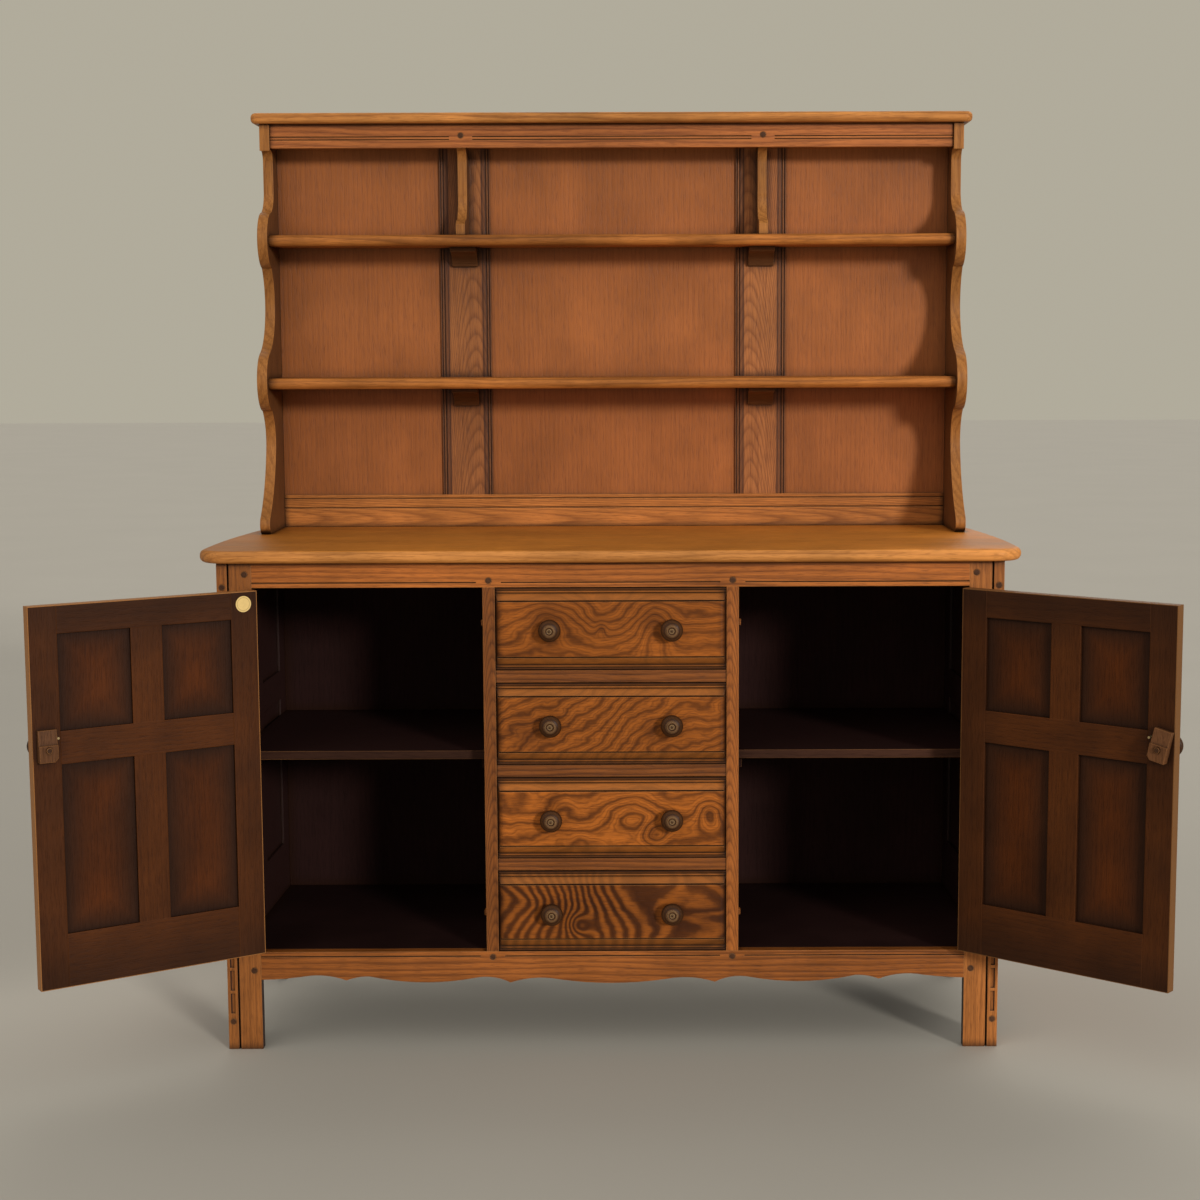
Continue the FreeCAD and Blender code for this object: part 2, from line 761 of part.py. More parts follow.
# Inside of the base: floor, partitions, back, rear rails, cupboard shelves and drawer runners.
def base_inside():
    inside_y = (frame_back, back_front)

    def low(y):
        return -inner_at(y)

    node("base_floor", [tapered("floor_board", low, inner_at, inside_y, (floor_bottom, size.opening_bottom))])
    back_z = (floor_bottom, size.worktop_underside)
    node("back_panel", [tapered("back_board", low, inner_at, (back_front, rear), back_z)])
    rear_rail_y = (back_front - size.frame_thickness, back_front)
    rear_rail_z = (
        (floor_bottom - size.rear_rail_height, floor_bottom),
        (partition_top, size.worktop_underside),
    )
    node("rear_rails", [tapered("rear_rail", low, inner_at, rear_rail_y, z) for z in rear_rail_z])
    partition_x = (bay_half, partition_outer)
    partition_z = (size.opening_bottom, partition_top)
    boards = [box("partition", mirrored(side, partition_x), inside_y, partition_z) for side, _ in SIDES]
    node("partitions", boards)

    shelf_y = (front + size.shelf_setback, back_front)
    shelf_top = (size.opening_bottom + opening_top) / 2 + size.shelf_rise
    shelf_z = (shelf_top - size.shelf_thickness, shelf_top)
    batten_y = (shelf_y[0] + size.batten_size, back_front)
    batten_z = (shelf_z[0] - size.batten_size, shelf_z[0])
    shelves, battens, runners = [], [], []
    for side, word in SIDES:
        inner_lines = ((lambda y: partition_outer), inner_at)
        outer_batten = ((lambda y: inner_at(y) - size.batten_size), inner_at)
        if side < 0:
            inner_lines = (low, (lambda y: -partition_outer))
            outer_batten = (low, (lambda y: size.batten_size - inner_at(y)))
        shelves.append(tapered(f"{word}_shelf_board", *inner_lines, shelf_y, shelf_z))
        battens.append(tapered(f"{word}_side_batten", *outer_batten, batten_y, batten_z))
        inner_batten_x = mirrored(side, (partition_outer, partition_outer + size.batten_size))
        battens.append(box(f"{word}_partition_batten", inner_batten_x, batten_y, batten_z))
        runner_x = mirrored(side, (bay_half - size.runner_width, bay_half))
        for rail_z in drawer_rail_heights():
            runners.append(box(f"{word}_runner", runner_x, inside_y, rail_z))
    node("cupboard_shelves", shelves)
    node("shelf_battens", battens)
    node("drawer_runners", runners)


# Pegs: the round wooden ends that show on the front frame and on the frieze.
def frame_pegs():
    stile_middle = bay_half + size.drawer_stile_width / 2
    frieze_y = rack_front - size.frieze_depth
    places = (
        (leg_inner + size.leg_peg_inset, front, size.worktop_underside - size.leg_peg_drop),
        (leg_inner + size.leg_peg_inset, front, size.opening_bottom - size.leg_peg_low_drop),
        (outer_at(front) - size.side_thickness / 2, front, size.worktop_underside - size.side_peg_drop),
        (outer_at(front) - size.side_thickness / 2, front, size.side_peg_rise),
        (stile_middle, front, opening_top + size.rail_peg_rise),
        (stile_middle, front, size.opening_bottom - size.apron_peg_drop),
        (muntin_middle, frieze_y, cornice_bottom - size.frieze_peg_drop),
    )
    pegs = []
    for side, word in SIDES:
        for x, y, z in places:
            peg_y = (y - size.peg_stand, y - size.peg_stand + size.peg_length)
            pegs.append(level_rod(f"{word}_peg", size.peg_radius, side * x, peg_y, z))
    node("frame_pegs", pegs)


# Door stops: small blocks behind the drawer stiles, against which the doors close.
def door_stops():
    stops = []
    stop_x = (cupboard_inner - size.door_stop_seat, cupboard_inner + size.door_stop_reach)
    stop_y = (frame_back, frame_back + size.door_stop_depth)
    for side, word in SIDES:
        for middle in (size.opening_bottom + size.door_stop_inset, opening_top - size.door_stop_inset):
            stop_z = span(middle, size.door_stop_height)
            stops.append(box(f"{word}_door_stop", mirrored(side, stop_x), stop_y, stop_z))
    node("door_stops", stops)


def knuckle_heights(middle, numbers):
    """Bottom and top of the chosen knuckles among the three of a hinge."""
    third = size.hinge_length / 3
    bottom = middle - size.hinge_length / 2
    gap = size.knuckle_gap / 2
    return [(bottom + third * number + gap, bottom + third * (number + 1) - gap) for number in numbers]


def hinge_leaf(name, side, middle, numbers, inward):
    """A leaf let into a board, with its knuckles round the hinge axis, drawn about that axis."""
    gap_half = size.door_gap / 2
    leaf_x = mirrored(-side * inward, (gap_half, gap_half + size.leaf_thickness))
    plate_y = (size.hinge_axis_stand, size.hinge_axis_stand + size.leaf_reach)
    pieces = [box(f"{name}_plate", leaf_x, plate_y, span(middle, size.hinge_length))]
    for number, knuckle_z in enumerate(knuckle_heights(middle, numbers)):
        pieces.append(box(f"{name}_tab_{number}", leaf_x, (as_size(0), plate_y[0]), knuckle_z))
        pieces.append(upright_rod(f"{name}_knuckle_{number}", size.knuckle_radius, 0, 0, knuckle_z))
    bore_z = grown(span(middle, size.hinge_length), size.overrun)
    bore = upright_rod(f"{name}_bore", size.hinge_pin_radius + size.hinge_pin_fit, 0, 0, bore_z)
    return cut(f"{name}_leaf", fused(f"{name}_blank", pieces), [bore])


# Hinges on the frame: the fixed leaves with the outer knuckles, and the pins.
def frame_hinges():
    pieces = []
    for side, word in SIDES:
        for middle in hinge_heights:
            leaf = hinge_leaf(f"{word}_fixed", side, middle, (0, 2), -1)
            pieces.append(place(leaf, side * hinge_x, hinge_y, 0))
            pin_z = span(middle, size.hinge_length)
            pin_x = side * hinge_x
            pieces.append(upright_rod(f"{word}_hinge_pin", size.hinge_pin_radius, pin_x, hinge_y, pin_z))
    node("frame_hinges", pieces)


def knob_body(name, shank_radius, shank_length):
    """A turned knob that points to -Y from the face at y = 0, with a round shank behind that face."""

    def turned_point(shares):
        return size.knob_radius * shares[0], -(size.knob_length * shares[1])

    steps = [((shank_radius, shank_length),), ((shank_radius, as_size(0)),)]
    steps += [(turned_point(shares),) for shares in KNOB_FOOT_SHARES]
    steps += [(turned_point(middle), turned_point(end)) for middle, end in KNOB_ARC_SHARES]
    steps += [(turned_point(shares),) for shares in KNOB_RING_SHARES]
    tip = turned_point((0, KNOB_RING_SHARES[-1][1]))
    start = (as_size(0), shank_length)
    steps += [((as_size(0), tip[1]),), (start,)]
    return lathed(name, start, steps)


def on_door(part, side, angle):
    """Hang a part drawn about the hinge axis on its door, open by the given angle."""
    turned(part, (0, 0, 1), angle * side)
    return place(part, side * hinge_x, hinge_y, 0)


# Doors: grooved frames with four panels each, drawn about the hinge axis as if closed, then swung open.
def door(side, word, angle):
    hinge_edge = size.door_gap / 2
    free_edge = hinge_edge + leg_inner - cupboard_inner - size.door_gap * 2
    face_y = size.hinge_axis_stand
    back_y = face_y + size.door_thickness
    door_y = (face_y, back_y)
    stile_width = size.door_stile_width
    stile_u = ((hinge_edge, hinge_edge + stile_width), (free_edge - stile_width, free_edge))
    rail_u = (stile_u[0][1], stile_u[1][0])
    muntin_u = span((rail_u[0] + rail_u[1]) / 2, size.door_muntin_width)
    panel_y = span((face_y + back_y) / 2, size.panel_thickness)
    spindle_u = free_edge - size.spindle_inset
    spindle_z = (lower_opening_z[1] + upper_opening_z[0]) / 2

    def across(pair):
        return mirrored(-side, pair)

    panels, spaces = [], []
    for bay_u in ((rail_u[0], muntin_u[0]), (muntin_u[1], rail_u[1])):
        for bay_z in (lower_opening_z, upper_opening_z):
            panel_u = grown(bay_u, size.panel_tongue)
            panel_z = grown(bay_z, size.panel_tongue)
            panels.append(box(f"{word}_door_panel", across(panel_u), panel_y, panel_z))
            space_u = grown(panel_u, size.panel_fit)
            space_y = grown(panel_y, size.panel_fit)
            space_z = grown(panel_z, size.panel_fit)
            spaces.append(box(f"{word}_panel_space", across(space_u), space_y, space_z))
    panel_spaces = group(f"{word}_panel_spaces", spaces)

    def grooved(name, u, z):
        return cut(f"{name}_cut", box(name, across(u), door_y, z), [panel_spaces])

    full_z = (door_bottom, door_top)
    mortise_u = across((hinge_edge - size.overrun, hinge_edge + size.leaf_thickness))
    mortise_y = (face_y - size.overrun, face_y + size.leaf_reach)
    hinge_cuts = []
    for height in hinge_heights:
        mortise_z = span(height, size.hinge_length)
        hinge_cuts.append(box(f"{word}_door_mortise", mortise_u, mortise_y, mortise_z))
    if word == "left":
        hinge_cuts.append(medallion_seat(side, back_y, hinge_edge))
    pin_u = spindle_u - size.button_width / 2 - size.stop_pin_gap - size.stop_pin_radius
    pin_z = spindle_z + size.stop_pin_rise
    pin_y = (back_y - size.stop_pin_seat, back_y + size.stop_pin_stand)
    pin_hole = level_rod(
        f"{word}_stop_pin_hole", size.stop_pin_radius + size.peg_fit, -side * pin_u,
        (pin_y[0], back_y + size.overrun), pin_z,
    )
    spindle_hole = level_rod(
        f"{word}_spindle_hole", size.spindle_radius + size.spindle_fit, -side * spindle_u,
        grown(door_y, size.overrun), spindle_z,
    )
    hinge_stile = grooved(f"{word}_hinge_stile", stile_u[0], full_z)
    mortised_stile = cut(f"{word}_hinge_stile_cut_out", hinge_stile, hinge_cuts)
    free_stile = grooved(f"{word}_free_stile", stile_u[1], full_z)
    bored_stile = cut(f"{word}_free_stile_bored", free_stile, [pin_hole, spindle_hole])
    rail_heights = (
        (door_bottom, lower_opening_z[0]),
        (lower_opening_z[1], upper_opening_z[0]),
        (upper_opening_z[1], door_top),
    )
    rails = [grooved(f"{word}_door_rail", rail_u, z) for z in rail_heights]
    rails += [grooved(f"{word}_door_muntin", muntin_u, z) for z in (lower_opening_z, upper_opening_z)]
    leaves = [hinge_leaf(f"{word}_swing", side, z, (1,), 1) for z in hinge_heights]
    stop_pin = level_rod(f"{word}_pin", size.stop_pin_radius, -side * pin_u, pin_y, pin_z)
    parts = [
        node(f"{word}_door_stiles", [mortised_stile, bored_stile]),
        node(f"{word}_door_rails", rails),
        node(f"{word}_door_panels", panels),
        node(f"{word}_door_hinge_leaves", leaves),
        node(f"{word}_door_stop_pin", [stop_pin]),
    ]
    if word == "left":
        parts.append(medallion(side, back_y, hinge_edge))
    parts += latch(side, word, spindle_u, spindle_z, back_y)
    for part in parts:
        on_door(part, side, angle)


def medallion_place(side, hinge_edge):
    """Middle of the brass disc on the inner face of the left door."""
    return -side * (hinge_edge + size.disc_inset), door_top - size.disc_drop


def medallion_seat(side, back_y, hinge_edge):
    """The shallow round recess for the brass disc."""
    x, z = medallion_place(side, hinge_edge)
    seat_y = (back_y - size.disc_inlay, back_y + size.overrun)
    return level_rod("medallion_seat", size.disc_radius + size.peg_fit, x, seat_y, z)


# Medallion: a bare brass disc let into the left door.
def medallion(side, back_y, hinge_edge):
    x, z = medallion_place(side, hinge_edge)
    disc_y = (back_y - size.disc_inlay, back_y - size.disc_inlay + size.disc_thickness)
    return node("left_door_medallion", [level_rod("medallion_disc", size.disc_radius, x, disc_y, z)])


# Latch: a knob outside, its spindle through the door, and a stepped turn button inside.
def latch(side, word, spindle_u, spindle_z, back_y):
    seat_y = size.hinge_axis_stand - size.spindle_fit
    button_y = back_y + size.button_stand
    spindle_length = button_y + size.button_thickness + size.spindle_end - seat_y
    knob = knob_body(f"{word}_latch_knob", size.spindle_radius, spindle_length)
    place(knob, -side * spindle_u, seat_y, spindle_z)

    thickness = size.button_thickness
    shoulder = size.button_shoulder_rise
    corners = (
        (as_size(0), -size.button_drop),
        (thickness, -size.button_drop),
        (thickness, shoulder),
        (thickness - size.button_shoulder_depth, shoulder),
        (size.button_tip_thickness, size.button_rise),
        (as_size(0), size.button_rise),
    )
    steps = [(corner,) for corner in corners[1:] + corners[:1]]
    block = padded(f"{word}_button_block", "YZ_Plane", corners[0], steps, size.button_width)
    place(block, -size.button_width / 2, 0, 0)
    inner_side = size.button_width.value if side > 0 else 0

    def lower_inner(edge):
        near = size.overrun.value
        level = edge.ZMax < near - size.button_drop.value
        return level and edge.XLength < near and abs(edge.XMin - inner_side) < near

    dressed(block, "Chamfer", "Size", size.button_chamfer, lower_inner)
    bore_y = (-size.overrun, thickness + size.overrun)
    bore = level_rod(f"{word}_button_bore", size.spindle_radius + size.button_bore_fit, 0, bore_y, as_size(0))
    button = cut(f"{word}_button_bored", block, [bore])
    if word == "right":
        turned(button, (0, 1, 0), -size.right_button_tilt)
    place(button, -side * spindle_u, button_y, spindle_z)
    return [node(f"{word}_door_knob", [knob]), node(f"{word}_turn_button", [button])]


def drawer_front_body(name, width, height):
    """A drawer front: reeds, sloping bands and grooves round a raised field, rounded at both ends."""
    half = height / 2
    valley = size.reed_valley
    reed = size.reed_height
    band_top = half - reed * 2
    band_foot = band_top - size.band_height
    field_edge = band_foot - size.field_groove_width
    band_face = valley - size.band_rise
    band_middle = ((valley + band_face) / 2 - size.band_bulge, (band_top + band_foot) / 2)
    groove_floor = band_face + size.field_groove_depth
    field = -size.field_stand
    upper = (
        (((valley - size.reed_bulge), half - reed / 2), (valley, half - reed)),
        (((valley - size.reed_bulge), half - reed * 1.5), (valley, band_top)),
        (band_middle, (band_face, band_foot)),
        ((groove_floor, band_foot),),
        ((groove_floor, field_edge),),
        ((field, field_edge),),
    )
    start = (size.front_board_depth, half)
    steps = [((valley, half),)] + list(upper)
    corner = (field, field_edge)
    points = [(valley, half)] + [step[-1] for step in upper]
    steps.append(((corner[0], -corner[1]),))
    for step, target in zip(reversed(upper), reversed(points[:-1])):
        lower_end = (target[0], -target[1])
        if len(step) == 1:
            steps.append((lower_end,))
        else:
            steps.append(((step[0][0], -step[0][1]), lower_end))
    steps += [((size.front_board_depth, -half),), (start,)]
    section = padded(f"{name}_section", "YZ_Plane", start, steps, width)
    place(section, -width / 2, 0, 0)

    side_x = width / 2
    run_x = side_x - size.front_end_run
    turn_share = 0.28
    rise_share = 0.72
    turn_y = valley + (field - valley) * rise_share
    turn_x = side_x - size.front_end_run * turn_share
    plan_start = (-side_x, size.front_board_depth)
    plan_steps = [
        ((-side_x, valley),),
        ((-turn_x, turn_y), (-run_x, field)),
        ((run_x, field),),
        ((turn_x, turn_y), (side_x, valley)),
        ((side_x, size.front_board_depth),),
        (plan_start,),
    ]
    plan = padded(f"{name}_plan", "XY_Plane", plan_start, plan_steps, height)
    place(plan, 0, 0, -half)
    shaped = document.addObject("Part::Common", f"{name}_shaped")
    shaped.Base = section
    shaped.Tool = plan
    return shaped


# Drawers: a moulded front with two knobs, and a box of sides, back and bottom.
def drawer(number, middle):
    word = f"drawer_{number}"
    width = size.drawer_bay_width - size.drawer_gap * 2
    height = drawer_opening - size.drawer_gap * 2
    shaped = drawer_front_body(f"{word}_moulding", width, height)
    hole_y = (-size.field_stand - size.overrun, size.dowel_length - size.field_stand)
    hole_radius = size.dowel_radius + size.dowel_fit
    holes = []
    for side, _ in SIDES:
        holes.append(level_rod(f"{word}_knob_hole", hole_radius, side * knob_middle, hole_y, as_size(0)))
    place(node(f"{word}_front", [cut(f"{word}_front_bored", shaped, holes)]), 0, front, middle)

    knobs = []
    for side, side_word in SIDES:
        knob = knob_body(f"{word}_{side_word}_knob", size.dowel_radius, size.dowel_length)
        knobs.append(place(knob, side * knob_middle, front - size.field_stand, middle))
    node(f"{word}_knobs", knobs)

    outer = bay_half - size.box_clearance
    inner = outer - size.box_side_thickness
    box_front = front + size.front_board_depth
    box_rear = back_front - size.box_rear_gap
    bottom = middle - height / 2
    box_z = (bottom, bottom + height - size.box_drop)
    back_y = (box_rear - size.box_side_thickness, box_rear)
    floor_z = (bottom + size.box_bottom_rise, bottom + size.box_bottom_rise + size.box_bottom_thickness)
    side_y = (box_front, box_rear)
    boards = [box(f"{word}_side", mirrored(side, (inner, outer)), side_y, box_z) for side, _ in SIDES]
    boards.append(box(f"{word}_back", (-inner, inner), back_y, box_z))
    boards.append(box(f"{word}_bottom", (-inner, inner), (box_front, back_y[0]), floor_z))
    node(f"{word}_box", boards)


# Rack sides: scalloped boards, each with a groove for the back panel beside it.
def rack_sides(panel_spaces):
    def edge(shares):
        return rack_front - size.rack_side_depth * shares[0], size.rack_height * shares[1]

    start = (rear, as_size(0))
    steps = [(edge(RACK_FOOT_SHARES),)]
    steps += [(edge(middle), edge(end)) for middle, end in RACK_ARC_SHARES]
    steps += [(edge(RACK_NECK_SHARES),)]
    steps += [(edge(RACK_NOTCH_SHARES[0]), edge(RACK_NOTCH_SHARES[1]))]
    steps += [(edge(RACK_TOP_SHARES),), ((rear, size.rack_height),), (start,)]
    for side, word in SIDES:
        board = padded(f"{word}_rack_board", "YZ_Plane", start, steps, size.rack_side_thickness)
        left_face = mirrored(side, (rack_inner, rack_half))[0]
        place(board, left_face, 0, worktop_top)
        node(f"rack_side_{word}", [cut(f"{word}_rack_board_grooved", board, [panel_spaces])])


# Cornice: a board over the rack with rounded corners and edges.
def cornice():
    half = rack_half + size.cornice_end_overhang
    nose = rear - size.cornice_depth
    corner = size.cornice_corner_radius
    corner_share = 1 - math.sqrt(0.5)

    def turn(side):
        return (
            (side * (half - corner), nose),
            (side * (half - corner * corner_share), nose + corner * corner_share),
            (side * half, nose + corner),
        )

    left, right = turn(-1), turn(1)
    steps = [(right[0],), right[1:3], ((half, rear),), ((-half, rear),), (left[2],), (left[1], left[0])]
    body = padded("cornice_board", "XY_Plane", left[0], steps, size.cornice_thickness)
    place(body, 0, 0, cornice_bottom)

    def rounded(edge):
        return edge.ZLength < edge.DiagonalLength / 2 and edge.YMin < rear.value - size.overrun.value

    dressed(body, "Fillet", "Radius", size.cornice_edge_radius, rounded)
    node("rack_cornice", [body])


# Frieze: the board under the cornice, with two scratched grooves that stop at its pegs.
def frieze():
    face_y = rack_front - size.frieze_depth
    board_y = (face_y, face_y + size.frieze_thickness)
    board = box("frieze_board", (-rack_inner, rack_inner), board_y, (frieze_bottom, cornice_bottom))
    cutters = []
    depth = size.frieze_groove_depth
    for rise in (size.frieze_upper_groove, size.frieze_lower_groove):
        groove_z = span(frieze_bottom + rise, size.frieze_groove_width)
        cutters += stopped_grooves("frieze_groove", rack_inner, muntin_middle, face_y, groove_z, depth)
    peg_z = cornice_bottom - size.frieze_peg_drop
    cutters += [peg_hole("frieze_hole", side * muntin_middle, face_y, peg_z) for side, _ in SIDES]
    node("rack_frieze", [cut("frieze_cut", board, cutters)])


# Rack shelves: boards with a rounded nose.
def rack_shelf(name, top, depth):
    nose_y = rack_front - depth
    bottom = top - size.rack_shelf_thickness
    start = (rack_front, bottom)
    steps = [
        ((nose_y + size.rack_shelf_nose, bottom),),
        ((nose_y, (top + bottom) / 2), (nose_y + size.rack_shelf_nose, top)),
        ((rack_front, top),),
        (start,),
    ]
    body = padded(f"{name}_board", "YZ_Plane", start, steps, rack_inner * 2)
    place(body, -rack_inner, 0, 0)
    node(name, [body])


# Rack back: a bottom rail, two muntins with scratched edges, and three panels in grooves.
def rack_back():
    back_y = (rack_front, rear)
    rail_z = (worktop_top, worktop_top + size.rack_rail_height)
    muntin_z = (rail_z[1], cornice_bottom)
    muntin_x = span(muntin_middle, size.muntin_width)
    panel_y = (
        rack_front + size.rack_panel_recess,
        rack_front + size.rack_panel_recess + size.rack_panel_thickness,
    )
    tongue = size.rack_panel_tongue
    panel_z = (rail_z[1] - tongue, cornice_bottom)
    bays = ((-rack_inner, -muntin_x[1]), (-muntin_x[0], muntin_x[0]), (muntin_x[1], rack_inner))
    panels = [box("rack_panel", grown(bay, tongue), panel_y, panel_z) for bay in bays]
    space_z = (panel_z[0] - size.panel_fit, cornice_bottom + size.overrun)
    spaces = []
    for bay in bays:
        space_x = grown(bay, tongue + size.panel_fit)
        spaces.append(box("rack_panel_space", space_x, grown(panel_y, size.panel_fit), space_z))
    panel_spaces = group("rack_panel_spaces", spaces)
    node("rack_back_panels", panels)

    cutters = [panel_spaces]
    for rise in (size.rack_rail_upper_groove, size.rack_rail_lower_groove):
        groove_z = span(worktop_top + rise, size.rack_rail_groove_width)
        groove_y = (rack_front - size.overrun, rack_front + size.muntin_groove_depth)
        cutters.append(box("rack_rail_groove", (-rack_inner, rack_inner), groove_y, groove_z))
    rail = box("rack_rail_board", (-rack_inner, rack_inner), back_y, rail_z)
    node("rack_bottom_rail", [cut("rack_rail_cut", rail, cutters)])

    muntins = []
    for side, word in SIDES:
        faces = mirrored(side, muntin_x)
        cutters = [panel_spaces]
        for inset in (size.muntin_outer_groove, size.muntin_inner_groove):
            for middle in (faces[0] + inset, faces[1] - inset):
                groove_x = span(middle, size.muntin_groove_width)
                groove_y = (rack_front - size.overrun, rack_front + size.muntin_groove_depth)
                groove_z = (muntin_z[0], muntin_z[1] + size.overrun)
                cutters.append(box(f"{word}_muntin_groove", groove_x, groove_y, groove_z))
        board = box(f"{word}_muntin_board", faces, back_y, muntin_z)
        muntins.append(cut(f"{word}_muntin_cut", board, cutters))
    node("rack_muntins", muntins)
    rack_sides(panel_spaces)


# Dividers and corbels: shaped supports in line with the muntins.
def rack_supports():
    height = frieze_bottom - upper_shelf_top

    def edge(shares):
        return rack_front - size.rack_side_depth * shares[0], height * shares[1]

    start = (rack_front, as_size(0))
    steps = [(edge(shares),) for shares in DIVIDER_FOOT_SHARES]
    steps += [(edge(middle), edge(end)) for middle, end in DIVIDER_ARC_SHARES]
    steps += [(edge(DIVIDER_NECK_SHARES),)]
    steps += [(edge(DIVIDER_TOP_SHARES[0]), edge(DIVIDER_TOP_SHARES[1]))]
    steps += [((rack_front, height),), (start,)]
    cove_share = 0.32
    face_y = rack_front - size.corbel_depth
    foot_y = rack_front - size.corbel_foot
    lip_z = size.corbel_height - size.corbel_face
    corbel_start = (rack_front, as_size(0))
    corbel_steps = [
        ((foot_y, as_size(0)),),
        ((foot_y + (face_y - foot_y) * cove_share, lip_z * (1 - cove_share)), (face_y, lip_z)),
        ((face_y, size.corbel_height),),
        ((rack_front, size.corbel_height),),
        (corbel_start,),
    ]
    dividers, corbels = [], []
    for side, word in SIDES:
        middle = side * muntin_middle
        board = padded(f"{word}_divider", "YZ_Plane", start, steps, size.divider_thickness)
        dividers.append(place(board, middle - size.divider_thickness / 2, 0, upper_shelf_top))
        for shelf_top in (upper_shelf_top, lower_shelf_top):
            block = padded(f"{word}_corbel", "YZ_Plane", corbel_start, corbel_steps, size.corbel_width)
            foot = shelf_top - size.rack_shelf_thickness - size.corbel_height
            corbels.append(place(block, middle - size.corbel_width / 2, 0, foot))
    node("rack_dividers", dividers)
    node("rack_corbels", corbels)


def check_and_write():
    """Stop at any failed object, then write one file for each sub-part."""
    document.recompute()
    failed = [item.Name for item in document.Objects if {"Invalid", "Error"} & set(item.State)]
    for part in nodes:
        if part.Shape.isNull() or not part.Shape.isValid():
            failed.append(part.Label)
    for item in document.Objects:
        if item.TypeId == "Part::Cut" and item.Shape.Volume >= item.Base.Shape.Volume:
            failed.append(f"{item.Name} cuts nothing")
    if failed:
        raise RuntimeError("failed objects: " + ", ".join(failed))
    os.makedirs("parts", exist_ok=True)
    for part in nodes:
        part.Shape.exportStep(f"parts/{part.Label}.step")
    print(len(nodes), "sub-parts,", sum(len(part.Shape.Solids) for part in nodes), "solids")


worktop()
front_legs()
side_frames()
front_frame()
base_inside()
frame_pegs()
door_stops()
frame_hinges()
door(-1, "left", size.left_open_angle)
door(1, "right", size.right_open_angle)
for drawer_number in range(DRAWER_COUNT):
    drawer(drawer_number + 1, opening_top - drawer_opening / 2 - drawer_pitch * drawer_number)
rack_back()
cornice()
frieze()
rack_shelf("rack_upper_shelf", upper_shelf_top, size.upper_shelf_depth)
rack_shelf("rack_lower_shelf", lower_shelf_top, size.lower_shelf_depth)
rack_supports()
check_and_write()
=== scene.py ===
import math

import bmesh
import bpy
from mathutils import Matrix, Vector


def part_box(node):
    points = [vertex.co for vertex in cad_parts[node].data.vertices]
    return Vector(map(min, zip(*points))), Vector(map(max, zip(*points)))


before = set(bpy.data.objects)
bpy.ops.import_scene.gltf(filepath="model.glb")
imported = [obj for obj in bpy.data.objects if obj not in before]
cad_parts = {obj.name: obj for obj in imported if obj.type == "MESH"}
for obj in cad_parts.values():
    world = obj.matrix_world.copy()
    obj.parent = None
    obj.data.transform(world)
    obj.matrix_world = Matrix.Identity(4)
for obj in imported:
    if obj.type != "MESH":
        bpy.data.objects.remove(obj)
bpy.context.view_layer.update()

# Dresses the kitchen dresser's solids in elm, dark stain, turned knobs and brass, in soft light.
# Metres, +Z up, the front faces -Y, the origin is on the floor at the centre of the base.

bl_info = {
    "name": "Kitchen dresser finish",
    "version": (1, 0, 0),
    "blender": (4, 5, 0),
    "location": "View3D > Sidebar > Dresser",
    "description": "Gives the kitchen dresser its woods, wax, brass, light and camera",
    "category": "Object",
}

SIDES = ("left", "right")
HALF = 0.5

# Solids that share a finish, by the way their grain runs.
FRONT_LEGS = ("front_leg_left", "front_leg_right", "side_front_stiles")
SIDE_UPRIGHT = ("side_rear_stiles", "side_panels")
RACK_SHELVES = ("rack_upper_shelf", "rack_lower_shelf")
RACK_UPRIGHT = ("rack_side_left", "rack_side_right", "rack_dividers")
INSIDE_UPRIGHT = ("back_panel", "partitions")
INSIDE_DEEP = ("shelf_battens", "drawer_runners")

# Order in which a point's X, Y and Z become the way along the grain, across the board, and into it.
GRAIN_ORDERS = {"x": "XZY", "y": "YZX", "z": "ZXY"}

# One growth ring, from its dark line through the pale summer wood to the next line.
RING_STOPS = ((0.0, 1.0), (0.12, 0.74), (0.34, 0.26), (0.60, 0.05), (0.84, 0.14), (0.94, 0.60), (1.0, 1.0))
FIGURE_STOPS = ((0.0, 1.0), (0.12, 0.84), (0.25, 0.32), (0.46, 0.0), (0.74, 0.10), (0.90, 0.64), (1.0, 1.0))
BOLD_STOPS = ((0.0, 1.0), (0.20, 0.90), (0.34, 0.36), (0.50, 0.02), (0.68, 0.14), (0.84, 0.80), (1.0, 1.0))

# Old wax and dust, with painted shade, by how open a corner is, from shut to open.
DIRT_AND_SHADE_STOPS = ((0.0, 1.0), (0.42, 1.0), (0.62, 0.72), (0.80, 0.32), (0.93, 0.06), (1.0, 0.0))

# Painted shade in the turned grooves, and rings rubbed pale with painted highlights, on a knob's face, by
# the share of its radius.
KNOB_GROOVE_SHADE_STOPS = (
    (0.0, 1.0), (0.07, 0.8), (0.12, 0.0), (0.22, 0.0), (0.27, 1.0),
    (0.36, 0.2), (0.54, 0.1), (0.66, 1.0), (0.80, 0.5), (1.0, 1.0),
)
KNOB_RUB_AND_HIGHLIGHT_STOPS = (
    (0.0, 0.0), (0.08, 0.0), (0.13, 1.0), (0.20, 1.0),
    (0.25, 0.0), (0.40, 0.0), (0.47, 0.5), (0.56, 0.0),
)

# Clouds to the metre along the grain, across the board and into it, and how fine they are.
DRIFT_STRETCH = (1.3, 8.0, 8.0)
BLOTCH_STRETCH = (2.0, 7.0, 7.0)
PORE_STRETCH = (45.0, 700.0, 700.0)
STREAK_STRETCH = (8.0, 260.0, 260.0)
POLISH_STRETCH = (9.0, 9.0, 9.0)
COARSE_DETAIL = 3.0
FINE_DETAIL = 2.0

# Where a mask starts and where it is full.
PORE_LIMITS = (0.50, 0.70)
STREAK_LIMITS = (0.40, 0.68)
EDGE_LIMITS = (0.995, 0.86)
SIDE_LIMITS = (0.35, 0.65)

